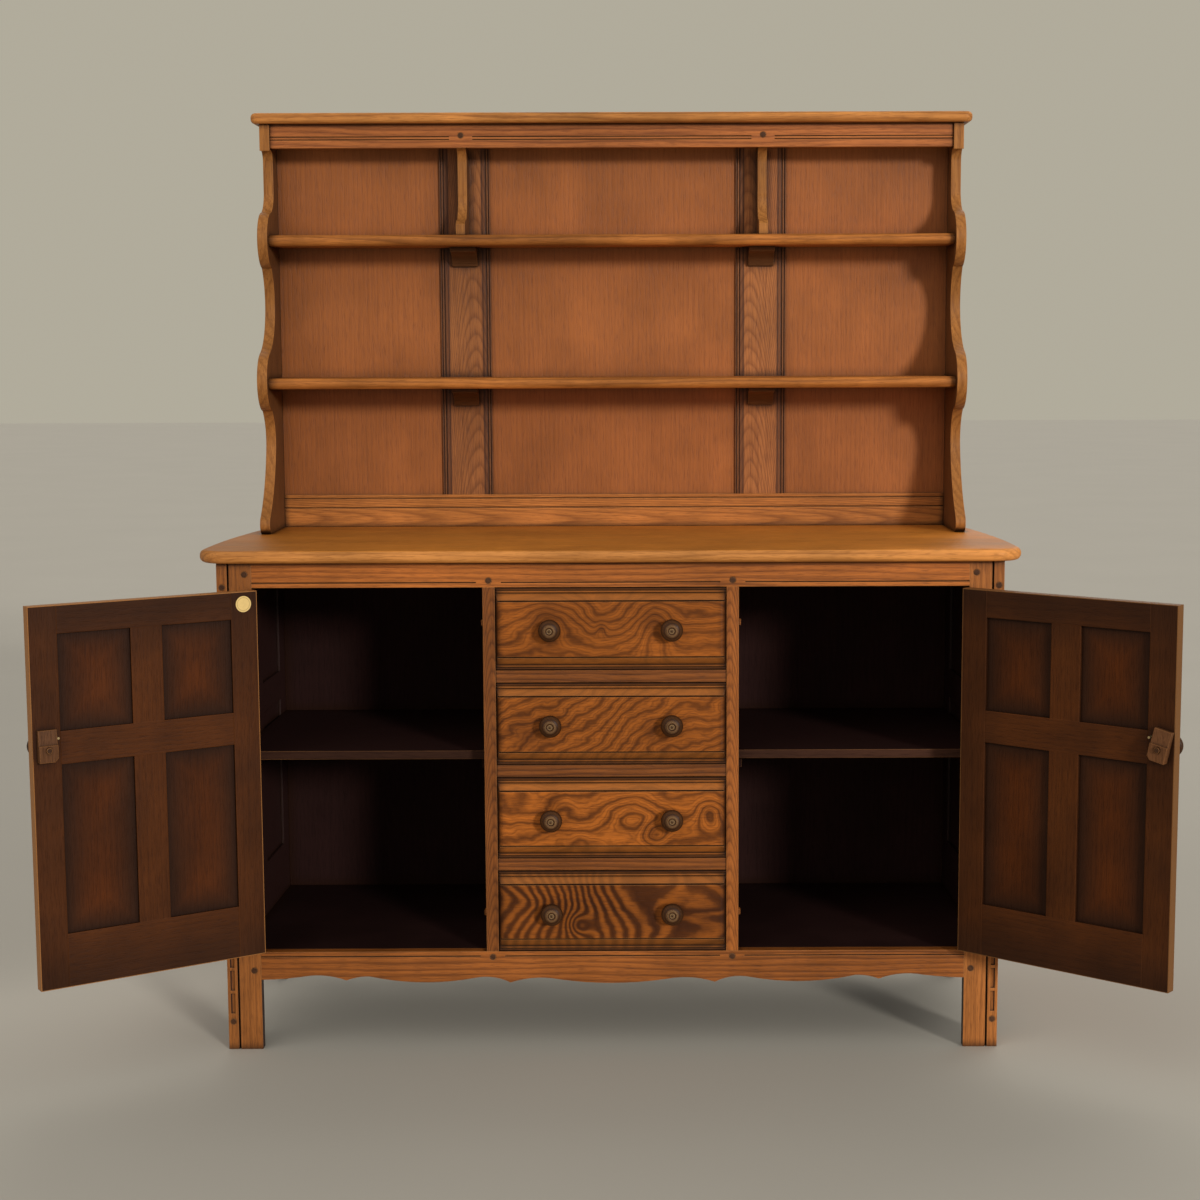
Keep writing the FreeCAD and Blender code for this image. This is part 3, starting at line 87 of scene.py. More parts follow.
# How strong the marks are that the boards share.
RING_SWING_SHARES = (0.45, 1.55)
PORE_HEIGHT_SHARE = 0.7
WEAR_SPREAD = 2.0
BUMP_STRENGTH = 0.6
LOOK_SAMPLES = 6

# The worktop's nose, rubbed pale and with a painted highlight, the painted shade on the rack's inner faces,
# and the thickness of the side frames' outer skin.
FRONT_RUB_AND_LIGHT_SHARE = 0.60
NOSE_LIGHT_SHARE = 1.22
INNER_SIDE_SHADE_SHARE = 0.62
SIDE_SKIN = 0.011

# The rack's muntins, in metres: their place, where their moulded edges start, and the pitch of the grooves,
# then the share of painted shade in those grooves.
MUNTIN_PLACE = 0.2832
MUNTIN_MOULDING = (0.029, 0.033)
MOULDING_PITCH = 0.0065
MOULDING_SHADE_SHARE = 0.90

# Shading of a drawer front, in metres from its edges: the rim, painted shade with old wax; the dull ends,
# old wax with painted shade; and the moulded strips. The strips' lines go by the share of the strip and are
# painted shade in their hollows.
# The tones are those of the lower and the upper strip, painted paler as if catching the light, the upper
# one most.
RIM_SHADE = (0.0060, 0.0012)
RIM_SHADE_SHARE = 0.90
END_SHADE = (0.018, 0.002)
END_SHADE_SHARE = 0.55
STRIP_HEIGHT = 0.0243
STRIP_SOFT = 0.0005
STRIP_SHADE_STOPS = (
    (0.0, 1.0), (0.10, 0.0), (0.20, 0.85), (0.29, 0.0), (0.39, 0.90),
    (0.47, 0.0), (0.88, 0.1), (0.92, 1.0), (1.0, 1.0),
)
STRIP_SHADE_LINE_SHARE = 0.80
STRIP_LIGHT_SHARE = 0.58
STRIP_LIGHT_TONE_SHARES = (0.46, 0.78)

# Sockets of a node that mixes colours: the amount and both colours, and the result.
MIX_INPUTS = (0, 6, 7)
MIX_RESULT = 2

# Looks of the boards: ring pitch, reach of the corner darkening and side reach in metres, rings of drift,
# roughness from and to, shares for how strong each mark is, and the shares of tone at the left and at the
# right. The corner darkening is old wax and dust with painted shade; the tones are partly the boards' own
# and partly painted light, lighter to the right.
# An arched figure has the board's middle, a slope along the grain and a bow across it.
# A fine figure has the lines in one ring and how strong they are.
PLAIN_LOOK = {
    "pitch": 0.0105, "rings": 0.60, "drift": 6.0, "pores": 0.45, "streaks": 0.30, "blotch": 0.34,
    "wear": 0.42, "dirt_and_shade": 0.92, "reach": 0.012, "rough": (0.34, 0.55), "gloss": 0.20,
    "sides": (0.84, 1.12), "side_reach": 0.68,
}
QUIET_LOOK = {**PLAIN_LOOK, "pitch": 0.014, "rings": 0.40, "streaks": 0.26, "gloss": 0.14}
SHELF_LOOK = {**QUIET_LOOK, "rings": 0.55, "blotch": 0.55, "dirt_and_shade": 1.0, "reach": 0.020}
CORNICE_LOOK = {**SHELF_LOOK, "sides": (1.04, 1.34)}
FRIEZE_LOOK = {**PLAIN_LOOK, "sides": (0.96, 1.26)}
RACK_SIDE_LOOK = {**QUIET_LOOK, "sides": (0.74, 0.92)}
APRON_LOOK = {**PLAIN_LOOK, "sides": (0.66, 0.72), "blotch": 0.45}
CORNER_LOOK = {**PLAIN_LOOK, "rings": 0.42, "sides": (0.62, 0.84), "reach": 0.016}
# The rails between the drawers are darker: partly their own tone, partly painted shade under the drawer
# fronts.
RAIL_LOOK = {**PLAIN_LOOK, "rings": 0.75, "sides": (0.52, 0.52), "reach": 0.014}
STILE_LOOK = {
    **PLAIN_LOOK, "pitch": 0.0055, "drift": 2.0, "sides": (0.46, 0.80), "side_reach": 0.21,
    "arch": (0.2065, 0.22, 60.0),
}
RACK_RAIL_LOOK = {
    **PLAIN_LOOK, "pitch": 0.0075, "drift": 4.0, "sides": (1.06, 1.20), "arch": (0.905, 0.06, 26.0),
}
PANEL_LOOK = {
    **PLAIN_LOOK, "pitch": 0.009, "rings": 0.13, "drift": 3.0, "pores": 0.28, "streaks": 0.14,
    "blotch": 0.33, "dirt_and_shade": 0.36, "reach": 0.022, "sides": (0.75, 0.96),
}
MUNTIN_LOOK = {
    **PLAIN_LOOK, "pitch": 0.0045, "rings": 0.48, "drift": 6.0, "reach": 0.018, "sides": (0.76, 1.08),
    "side_reach": 0.283, "arch": (0.2640, 0.14, 14.0),
}
STAIN_LOOK = {
    **PLAIN_LOOK, "rings": 0.16, "streaks": 0.14, "pores": 0.40, "blotch": 0.36, "wear": 0.07, "dirt_and_shade": 0.88,
    "reach": 0.024, "rough": (0.40, 0.58), "gloss": 0.10,
}
DOOR_LOOK = {**PLAIN_LOOK, "rings": 0.52, "sides": (0.70, 0.70)}
BUTTON_LOOK = {**STAIN_LOOK, "wear": 0.30, "reach": 0.010}
INSIDE_LOOK = {**STAIN_LOOK, "wear": 0.25, "rough": (0.55, 0.75), "gloss": 0.05}
BOX_LOOK = {**QUIET_LOOK, "wear": 0.10, "rough": (0.60, 0.78), "gloss": 0.10}
KNOB_LOOK = {
    **QUIET_LOOK, "pitch": 0.006, "wear": 0.50, "dirt_and_shade": 0.95, "reach": 0.006, "rough": (0.30, 0.48),
    "gloss": 0.14,
}
FIGURED_LOOK = {
    **PLAIN_LOOK, "streaks": 0.16, "pores": 0.40, "blotch": 0.26, "dirt_and_shade": 1.0, "reach": 0.007,
    "gloss": 0.12, "sides": (1.0, 1.0), "fine": (3.0, 0.55),
}

# Figure of each drawer front: rings to the metre across, into it and up, a wiggle in rings, how dark the
# rings are, a share of tone, hills of rings (place across and up, reach across and up, rings), and knots
# (place across and up, reach). A bold figure has broad dark rings.
FIGURES = (
    {"lean": (0.0, 0.0, -42.0), "wiggle": 1.5, "rings": 0.68, "tone": 1.01,
     "hills": ((-0.108, 0.012, 0.050, 0.036, 2.3), (-0.012, 0.032, 0.040, 0.040, -2.2),
               (0.076, -0.002, 0.030, 0.052, 2.8), (0.175, -0.020, 0.060, 0.036, 1.0),
               (-0.016, 0.000, 0.010, 0.012, 1.4)),
     "knots": ((-0.112, 0.022, 0.028), (0.074, 0.010, 0.018), (-0.016, 0.000, 0.007))},
    {"lean": (34.0, 0.0, -42.0), "wiggle": 2.0, "rings": 0.70, "tone": 1.075,
     "hills": ((-0.200, 0.000, 0.100, 0.100, 2.8), (0.050, 0.000, 0.060, 0.080, 1.2),
               (0.200, 0.010, 0.050, 0.050, -2.2)),
     "knots": ((0.070, -0.014, 0.016), (-0.150, -0.020, 0.030))},
    {"lean": (0.0, 0.0, -27.0), "wiggle": 1.3, "rings": 0.72, "tone": 1.355,
     "hills": ((-0.150, 0.014, 0.060, 0.020, -0.9), (-0.085, 0.020, 0.020, 0.020, 0.7),
               (0.036, 0.004, 0.044, 0.036, 2.6), (0.075, -0.028, 0.020, 0.020, -1.9),
               (0.172, 0.006, 0.022, 0.026, 2.3), (-0.060, -0.040, 0.060, 0.025, 0.9)),
     "knots": ((0.170, 0.009, 0.010), (0.075, -0.028, 0.012), (-0.100, 0.030, 0.014))},
    {"lean": (52.0, 0.0, 0.0), "wiggle": 1.0, "rings": 1.0, "tone": 0.82, "bold": True,
     "hills": ((-0.150, 0.018, 0.085, 0.040, -2.2), (0.000, 0.055, 0.075, 0.055, 2.3),
               (-0.060, -0.022, 0.020, 0.020, 2.2), (0.215, 0.000, 0.100, 0.100, -6.6),
               (0.088, 0.060, 0.045, 0.028, -1.8), (0.175, -0.012, 0.055, 0.016, 1.3)),
     "knots": ((-0.060, -0.022, 0.012), (0.165, -0.012, 0.030), (0.060, -0.006, 0.018))},
)
KNOT_SHARE = 0.50
WIGGLE_STRETCH = (22.0, 1.0, 34.0)

# Drawer knobs, in metres: the step from drawer to drawer, the place beside the middle, and the radius.
DRAWER_STEP = 0.1676
KNOB_PLACE = 0.1057
KNOB_RADIUS = 0.0195
KNOB_GROOVE_SHADE_SHARE = 0.88

# Metals: clouds of tarnish, roughness from and to, how metallic they are, and the disc's turned lines.
TARNISH_STRETCH = (160.0, 160.0, 160.0)
TARNISH_SHARE = 0.35
STEEL_ROUGHNESS = (0.40, 0.65)
BRASS_ROUGHNESS = (0.34, 0.52)
STEEL_SHINE = 1.0
BRASS_SHINE = 0.5
DISC_STOPS = ((0.0, 0.0), (0.74, 0.0), (0.80, 0.9), (0.86, 0.0), (0.95, 0.0), (1.0, 0.7))
DISC_CLOUD_SHARES = (-0.10, 0.40)

# The doors as they stand open: their hinge pins, and the turns that shut them.
DOOR_PINS = {"left": (-0.62185, -0.2415, 0.0), "right": (0.62185, -0.2415, 0.0)}
DOOR_TURNS = {"left": math.radians(146.5), "right": math.radians(-141.0)}

# A shut door, in metres from its hinge pin and the floor: middle of its thickness, edges, bands of panels,
# and a column of panels measured from the door's middle.
DOOR_MIDDLE = 0.0143
DOOR_SOFT = 0.0008
DOOR_HINGE_EDGE = 0.00075
DOOR_WIDTH = 0.3978
DOOR_BOTTOM, DOOR_TOP = 0.183, 0.8245
DOOR_EDGE = 0.0012
PANEL_BANDS = ((0.274, 0.5605), (0.616, 0.7775))
PANEL_COLUMN = (0.027, 0.151)

# The stain's glow away from shaded edges: where it starts and is full in metres, and how strong it is.
# Then the shares of tone of the bare rims and of the stained faces.
PANEL_GLOW = (-0.010, 0.062)
FRAME_GLOW = (0.004, 0.110)
STILE_GLOW_SHARE = 0.72
RAIL_GLOW_SHARE = 0.30
GLOW_STRETCH = (13.0, 13.0, 13.0)
GLOW_SWING_SHARES = (0.35, 1.45)
RIM_SHARES = {"left": 0.62, "right": 0.34}
DOOR_SHARES = {"left": 1.0, "right": 0.72}


def colour(name, description, default):
    """A colour that the user can change."""
    return bpy.props.FloatVectorProperty(
        name=name, description=description, subtype="COLOR", size=3, min=0.0, max=1.0, default=default
    )


def length(name, description, default):
    """A length that the user can change."""
    return bpy.props.FloatProperty(
        name=name, description=description, unit="LENGTH", min=0.0, default=default
    )


class DresserWoods(bpy.types.PropertyGroup):
    """Colours of the woods and metals."""

    elm_light: colour("Elm", "Summer wood of the frame", (0.52, 0.154, 0.026))
    elm_dark: colour("Elm rings", "Dark rings of the frame", (0.115, 0.031, 0.006))
    elm_worn: colour("Worn elm", "Elm rubbed bare at edges", (0.56, 0.235, 0.070))
    leg_light: colour("Legs", "Summer wood of the front legs", (0.54, 0.182, 0.038))
    golden_light: colour("Golden elm", "Summer wood of shelves, rack rail, strips", (0.48, 0.164, 0.033))
    golden_dark: colour("Golden elm rings", "Dark rings of the rack's golden boards", (0.15, 0.044, 0.009))
    pale_light: colour("Pale elm", "Summer wood of the cornice and the rack's sides", (0.48, 0.188, 0.044))
    worktop_light: colour("Worktop", "Summer wood of the worktop", (0.63, 0.224, 0.030))
    worktop_dark: colour("Worktop rings", "Dark rings of the worktop", (0.22, 0.066, 0.009))
    panel_light: colour("Rack back", "Summer wood of the rack's back and frieze", (0.42, 0.130, 0.030))
    muntin_light: colour("Rack muntins", "Summer wood of the rack's muntins", (0.44, 0.155, 0.043))
    panel_dark: colour("Rack back rings", "Dark rings of the rack's back", (0.120, 0.032, 0.009))
    figured_light: colour("Figured elm", "Summer wood of the drawer fronts", (0.36, 0.099, 0.012))
    figured_dark: colour("Figured elm rings", "Dark rings of the drawer fronts", (0.045, 0.012, 0.0028))
    stain_light: colour("Stained door", "Stained inner faces of the doors", (0.104, 0.0285, 0.0050))
    panel_stain: colour("Stained panels", "Stained middles of the door panels", (0.106, 0.0250, 0.0034))
    stain_edge: colour("Stain edge", "Shaded edges of the doors' inner faces", (0.032, 0.0118, 0.0046))
    stain_dark: colour("Stained door rings", "Dark rings of the stained doors", (0.024, 0.0068, 0.0022))
    rubbed_stain: colour("Rubbed stain", "Corbels and turn buttons", (0.150, 0.060, 0.022))
    # The cupboards' dark stain, also used for painted shade on the rack's inner faces and in the muntins'
    # grooves.
    cupboard_stain_and_shade: colour("Cupboard", "Upright boards and hidden faces inside", (0.027, 0.0101, 0.0080))
    # Painted shade: the floor and shelf tops inside are a touch darker; painted light: the shelves' front
    # edges are paler, partly from wear.
    inside_flat_shade: colour("Cupboard floor", "Floor and shelves inside the cupboards", (0.024, 0.0096, 0.0080))
    lit_shelf_edge: colour("Shelf edge", "Front edges of the cupboard shelves", (0.050, 0.0200, 0.0110))
    inside_dark: colour("Cupboard rings", "Dark rings inside the cupboards", (0.012, 0.0046, 0.0036))
    box_light: colour("Drawer box", "Plain wood of the drawer boxes", (0.30, 0.165, 0.072))
    box_dark: colour("Drawer box rings", "Dark rings of the drawer boxes", (0.17, 0.085, 0.034))
    knob_light: colour("Knob", "Turned wood of the knobs", (0.150, 0.058, 0.017))
    knob_dark: colour("Knob rings", "Dark rings of the knobs", (0.062, 0.025, 0.009))
    # Pale rubbed wood of the knobs, also used for painted highlights on their turned rings.
    knob_worn_and_lit: colour("Worn knob", "Rubbed rims of the knobs", (0.42, 0.25, 0.11))
    peg_light: colour("Peg", "End grain of the pegs", (0.085, 0.034, 0.014))
    peg_dark: colour("Peg rings", "Dark rings of the pegs", (0.030, 0.011, 0.005))
    # Dark colour of old wax and dust, also used for painted shade in corners, gaps, drawer rims, strip
    # hollows and knob grooves.
    patina_and_shade: colour("Patina", "Old wax and dust in corners and grooves", (0.018, 0.006, 0.0024))
    steel: colour("Hinge steel", "Dull steel of the hinges", (0.16, 0.125, 0.090))
    brass: colour("Brass", "Worn brass of the disc", (0.92, 0.64, 0.24))
    pin_brass: colour("Stop pins", "Dull brass of the stop pins", (0.46, 0.33, 0.15))


class DresserDetails(bpy.types.PropertyGroup):
    """Sizes of the fine details."""

    edge_round: length("Edge rounding", "Radius of a worn edge", 0.0022)
    grain_relief: length("Grain relief", "Depth of the pores and rings", 0.0004)


class DresserStage(bpy.types.PropertyGroup):
    """Floor, backdrop and camera."""

    floor: colour("Floor", "Plain pale floor", (0.51, 0.465, 0.38))
    backdrop: colour("Backdrop", "Plain backdrop behind the dresser", (0.44, 0.41, 0.33))
    lens: bpy.props.FloatProperty(
        name="Lens", description="Focal length of the camera", unit="CAMERA", default=62.764
    )


class Recipe:
    """The node tree of one finish, built a node at a time."""

    def __init__(self, name):
        self.material = bpy.data.materials.new(name)
        self.material.use_nodes = True
        self.nodes = self.material.node_tree.nodes
        self.links = self.material.node_tree.links
        self.nodes.clear()
        coordinates = self.add("ShaderNodeTexCoord")
        self.position = coordinates.outputs["Object"]
        self.facing = coordinates.outputs["Normal"]

    def add(self, kind, inputs=None, **settings):
        """Add a node, set it up and feed its sockets."""
        node = self.nodes.new(kind)
        for name, value in settings.items():
            setattr(node, name, value)
        for name, value in (inputs or {}).items():
            self.feed(node.inputs[name], value)
        return node

    def feed(self, socket, value):
        """Link a socket to another, or set its value."""
        if isinstance(value, bpy.types.NodeSocket):
            self.links.new(value, socket)
        else:
            socket.default_value = value

    def math(self, operation, *values):
        """One sum of numbers."""
        return self.add("ShaderNodeMath", dict(enumerate(values)), operation=operation).outputs[0]

    def vector(self, operation, *values):
        """One sum of vectors."""
        node = self.add("ShaderNodeVectorMath", dict(enumerate(values)), operation=operation)
        return node.outputs["Value" if operation in ("LENGTH", "DOT_PRODUCT") else "Vector"]

    def parts(self, vector):
        """The three parts of a vector."""
        return self.add("ShaderNodeSeparateXYZ", {0: vector}).outputs

    def joined(self, *values):
        """A vector made of three numbers."""
        return self.add("ShaderNodeCombineXYZ", dict(enumerate(values))).outputs[0]

    def noise(self, vector, stretch, detail):
        """Cloudy noise, stretched by a share along each way."""
        stretched = self.vector("MULTIPLY", vector, stretch)
        inputs = {"Vector": stretched, "Scale": 1.0, "Detail": detail}
        return self.add("ShaderNodeTexNoise", inputs).outputs[0]

    def step(self, value, low, high):
        """A smooth step from 0 at the low limit to 1 at the high one."""
        limits = {"Value": value, "From Min": low, "From Max": high}
        return self.add("ShaderNodeMapRange", limits, interpolation_type="SMOOTHSTEP").outputs[0]

    def ranged(self, value, low, high):
        """A value from 0 to 1 spread between two others."""
        return self.add("ShaderNodeMapRange", {"Value": value, "To Min": low, "To Max": high}).outputs[0]

    def curve(self, value, stops):
        """A value passed through a curve of grey stops."""
        node = self.add("ShaderNodeValToRGB", {0: value})
        elements = node.color_ramp.elements
        for (place, level), element in zip((stops[0], stops[-1]), elements):
            element.position = place
            element.color = (level, level, level, 1.0)
        for place, level in stops[1:-1]:
            elements.new(place).color = (level, level, level, 1.0)
        return node.outputs[0]

    def mix(self, amount, first, second, mode="MIX"):
        """Two colours mixed by an amount."""
        node = self.add("ShaderNodeMix", data_type="RGBA", blend_type=mode, clamp_factor=True)
        for index, value in zip(MIX_INPUTS, (amount, first, second)):
            self.feed(node.inputs[index], value)
        return node.outputs[MIX_RESULT]

    def close(self, inputs, bump=None):
        """End the tree in a surface shader."""
        shader = self.add("ShaderNodeBsdfPrincipled", inputs)
        if bump is not None:
            self.feed(shader.inputs["Normal"], bump)
        output = self.add("ShaderNodeOutputMaterial")
        self.links.new(shader.outputs[0], output.inputs[0])
        return self.material


def opaque(paint):
    """A colour with full cover."""
    return (*paint, 1.0)


def board(recipe, grain):
    """Where a point is along the grain, across the board and into it."""
    parts = recipe.parts(recipe.position)
    return recipe.joined(*(parts["XYZ".index(letter)] for letter in GRAIN_ORDERS[grain]))


def ring_phase(recipe, place, look):
    """Count of growth rings across a plain board, drifting along its grain, or arched along its middle."""
    along, across, depth = recipe.parts(place)
    drift = recipe.math("SUBTRACT", recipe.noise(place, DRIFT_STRETCH, COARSE_DETAIL), HALF)
    rise = recipe.math("ADD", across, depth)
    if "arch" in look:
        middle, slope, bow = look["arch"]
        aside = recipe.math("SUBTRACT", recipe.math("ABSOLUTE", across), middle)
        crown = recipe.math("MULTIPLY", recipe.math("MULTIPLY", aside, aside), bow)
        rise = recipe.math("MULTIPLY_ADD", along, slope, crown)
    count = recipe.math("DIVIDE", rise, look["pitch"])
    return recipe.math("MULTIPLY_ADD", drift, look["drift"], count)


def side_light_and_tone(recipe, look):
    """A board's share of tone from the dresser's left to its right: partly its own tone, partly painted
    light, lighter towards the right as if lit from that side.
    """
    left, right = look["sides"]
    reach = look["side_reach"]
    spread = {"From Min": -reach, "From Max": reach, "To Min": left, "To Max": right}
    spread["Value"] = recipe.parts(recipe.position)[0]
    return recipe.add("ShaderNodeMapRange", spread).outputs[0]


def wood(recipe, place, phase, look, light, dark, stops=RING_STOPS):
    """Colour of a board from its rings, streaks, pores and blotches, and a height for its relief."""
    rings = recipe.curve(recipe.math("FRACT", phase), stops)
    if "fine" in look:
        lines, share = look["fine"]
        fine = recipe.curve(recipe.math("FRACT", recipe.math("MULTIPLY", phase, lines)), stops)
        rings = recipe.math("MAXIMUM", rings, recipe.math("MULTIPLY", fine, share))
    blotch = recipe.noise(place, BLOTCH_STRETCH, COARSE_DETAIL)
    pores = recipe.step(recipe.noise(place, PORE_STRETCH, FINE_DETAIL), *PORE_LIMITS)
    streaks = recipe.step(recipe.noise(place, STREAK_STRETCH, FINE_DETAIL), *STREAK_LIMITS)
    strength = recipe.ranged(blotch, *(look["rings"] * share for share in RING_SWING_SHARES))
    ringed = recipe.mix(recipe.math("MULTIPLY", rings, strength), light, dark)
    streaked = recipe.mix(recipe.math("MULTIPLY", streaks, look["streaks"]), ringed, dark)
    pored = recipe.mix(recipe.math("MULTIPLY", pores, look["pores"]), streaked, dark)
    smudge = recipe.noise(recipe.position, POLISH_STRETCH, COARSE_DETAIL)
    darkest = 1.0 - look["blotch"]
    lightest = 1.0 + look["blotch"]
    smudged = recipe.ranged(smudge, darkest, lightest)
    patch = recipe.math("MULTIPLY", smudged, recipe.ranged(blotch, lightest, darkest))
    # Painted light: the tone from left to right stands partly for light falling from the right.
    shade = recipe.math("MULTIPLY", patch, side_light_and_tone(recipe, look))
    tinted = recipe.mix(1.0, pored, recipe.joined(shade, shade, shade), "MULTIPLY")
    ring_height = recipe.math("MULTIPLY", rings, 1.0 - PORE_HEIGHT_SHARE)
    relief = recipe.math("MULTIPLY_ADD", pores, PORE_HEIGHT_SHARE, ring_height)
    return tinted, recipe.math("SUBTRACT", 1.0, relief)


def waxed(recipe, paint, height, context, look, worn, covered=0.0):
    """Close a wood recipe: darkening in the corners, partly old wax and dust and partly painted shade, pale
    wear at softened open edges, fine relief and wax.
    """
    details = context.scene.dresser_details
    patina_and_shade = opaque(context.scene.dresser_woods.patina_and_shade)
    # Painted shade: ambient occlusion darkens corners, grooves, gaps and the boards under shelves, towards
    # the colour of old wax and dust.
    hollow = recipe.add("ShaderNodeAmbientOcclusion", {"Distance": look["reach"]}, samples=LOOK_SAMPLES)
    dirt_and_shade = recipe.curve(hollow.outputs["AO"], DIRT_AND_SHADE_STOPS)
    grime_and_shade = recipe.mix(recipe.math("MULTIPLY", dirt_and_shade, look["dirt_and_shade"]), paint, patina_and_shade)
    soft = recipe.add("ShaderNodeBevel", {"Radius": details.edge_round}, samples=LOOK_SAMPLES).outputs[0]
    true_normal = recipe.add("ShaderNodeNewGeometry").outputs["Normal"]
    edge = recipe.step(recipe.vector("DOT_PRODUCT", soft, true_normal), *EDGE_LIMITS)
    polish = recipe.noise(recipe.position, POLISH_STRETCH, FINE_DETAIL)
    open_share = recipe.math("SUBTRACT", 1.0, recipe.math("MAXIMUM", dirt_and_shade, covered))
    open_edge = recipe.math("MULTIPLY", edge, open_share)
    rubbed = recipe.math("MULTIPLY", open_edge, recipe.ranged(polish, 0.0, WEAR_SPREAD * look["wear"]))
    aged = recipe.mix(rubbed, grime_and_shade, opaque(worn))
    relief = {"Strength": BUMP_STRENGTH, "Distance": details.grain_relief, "Height": height, "Normal": soft}
    bump = recipe.add("ShaderNodeBump", relief).outputs[0]
    rough = recipe.ranged(polish, *look["rough"])
    return recipe.close({"Base Color": aged, "Roughness": rough, "Specular IOR Level": look["gloss"]}, bump)


def plain_wood(context, name, grain, look, light, dark, hidden=None, stain=None):
    """A finish for boards whose grain runs one way, darkened on the faces that a mask picks: dark stain
    inside the cabinet, painted shade on the rack's inner faces and in the muntins' grooves.
    """
    recipe = Recipe(name)
    woods = context.scene.dresser_woods
    place = board(recipe, grain)
    phase = ring_phase(recipe, place, look)
    paint, height = wood(recipe, place, phase, look, opaque(light), opaque(dark))
    covered = 0.0
    if hidden is not None:
        covered = hidden(recipe)
        paint = recipe.mix(covered, paint, opaque(stain or woods.cupboard_stain_and_shade))
    return waxed(recipe, paint, height, context, look, woods.elm_worn, covered)


def inward(recipe):
    """1 on faces that look into the cabinet, 0 elsewhere."""
    place = recipe.parts(recipe.position)
    facing = recipe.parts(recipe.facing)
    turned = [recipe.math("MULTIPLY", facing[axis], recipe.math("SIGN", place[axis])) for axis in (0, 1)]
    most = recipe.math("MINIMUM", *turned)
    return recipe.step(recipe.math("MULTIPLY", most, -1.0), *SIDE_LIMITS)


def not_outward(recipe):
    """1 on the side frames' faces and edges that don't look out of the cabinet."""
    side = recipe.math("SIGN", recipe.parts(recipe.position)[0])
    outward = recipe.math("MULTIPLY", recipe.parts(recipe.facing)[0], side)
    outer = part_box("side_rails")[1][0] - SIDE_SKIN
    across = recipe.math("ABSOLUTE", recipe.parts(recipe.position)[0])
    hidden = recipe.math("MAXIMUM", inward(recipe), recipe.math("LESS_THAN", across, outer))
    return recipe.math("MULTIPLY", hidden, recipe.step(outward, SIDE_LIMITS[1], SIDE_LIMITS[0]))


def not_front(recipe):
    """1 on faces that don't look to the front."""
    return recipe.step(recipe.parts(recipe.facing)[1], -SIDE_LIMITS[1], -SIDE_LIMITS[0])


def inner_side_shade(recipe):
    """Painted shade: a share of darkening on the faces of the rack's sides that look to its middle."""
    across = recipe.math("SIGN", recipe.parts(recipe.position)[0])
    turned = recipe.math("MULTIPLY", recipe.parts(recipe.facing)[0], across)
    facing = recipe.step(turned, -SIDE_LIMITS[0], -SIDE_LIMITS[1])
    return recipe.math("MULTIPLY", facing, INNER_SIDE_SHADE_SHARE)


def muntin_moulding_shade(recipe):
    """Painted shade: dark lines on the grooved edges of the rack's muntins, over their modelled grooves."""
    across = recipe.math("ABSOLUTE", recipe.parts(recipe.position)[0])
    from_middle = recipe.math("ABSOLUTE", recipe.math("SUBTRACT", across, MUNTIN_PLACE))
    count = recipe.math("DIVIDE", from_middle, MOULDING_PITCH)
    lines = recipe.curve(recipe.math("FRACT", count), RING_STOPS)
    edges = recipe.math("MULTIPLY", recipe.step(from_middle, *MUNTIN_MOULDING), MOULDING_SHADE_SHARE)
    return recipe.math("MULTIPLY", edges, recipe.ranged(lines, HALF, 1.0))


def finish(names, material):
    """Give the named solids one finish."""
    for name in names:
        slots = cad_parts[name].data.materials
        slots.clear()
        slots.append(material)


def finish_boards(context, boards):
    """Finish groups of boards, by their names, title, grain, look, colours and mask of darkened faces."""
    for names, title, grain, look, paints, hidden in boards:
        finish(names, plain_wood(context, title, grain, look, *paints, hidden=hidden))


class DRESSER_OT_frame(bpy.types.Operator):
    """Finish the base cabinet's frame in waxed elm"""

    bl_idname = "dresser.frame"
    bl_label = "Base frame"

    def execute(self, context):
        woods = context.scene.dresser_woods
        elm = (woods.elm_light, woods.elm_dark)
        legs = (woods.leg_light, woods.elm_dark)
        finish_boards(context, (
            (("front_top_rail",), "elm_long", "x", PLAIN_LOOK, elm, inward),
            (("front_apron",), "elm_apron", "x", APRON_LOOK, elm, inward),
            (FRONT_LEGS, "elm_upright", "z", CORNER_LOOK, legs, inward),
            (SIDE_UPRIGHT, "elm_side", "z", PLAIN_LOOK, elm, not_outward),
            (("side_rails",), "elm_deep", "y", PLAIN_LOOK, elm, not_outward),
            (("drawer_rails",), "elm_between", "x", RAIL_LOOK, elm, not_front),
            (("drawer_stiles",), "elm_beside", "z", STILE_LOOK, elm, not_front),
        ))
        return {"FINISHED"}


class DRESSER_OT_worktop(bpy.types.Operator):
    """Finish the worktop in golden waxed elm"""

    bl_idname = "dresser.worktop"
    bl_label = "Worktop"

    def execute(self, context):
        woods = context.scene.dresser_woods
        recipe = Recipe("worktop_elm")
        place = board(recipe, "x")
        # Front faces are painted paler: partly rubbed wear, partly a painted highlight on the nose.
        front = recipe.step(recipe.parts(recipe.facing)[1], -SIDE_LIMITS[0], -SIDE_LIMITS[1])
        rubbed = recipe.math("MULTIPLY", front, FRONT_RUB_AND_LIGHT_SHARE)
        light = recipe.mix(rubbed, opaque(woods.worktop_light), scaled(woods.elm_worn, NOSE_LIGHT_SHARE))
        phase = ring_phase(recipe, place, QUIET_LOOK)
        paint, height = wood(recipe, place, phase, QUIET_LOOK, light, opaque(woods.worktop_dark))
        finish(("worktop",), waxed(recipe, paint, height, context, QUIET_LOOK, woods.elm_worn))
        return {"FINISHED"}


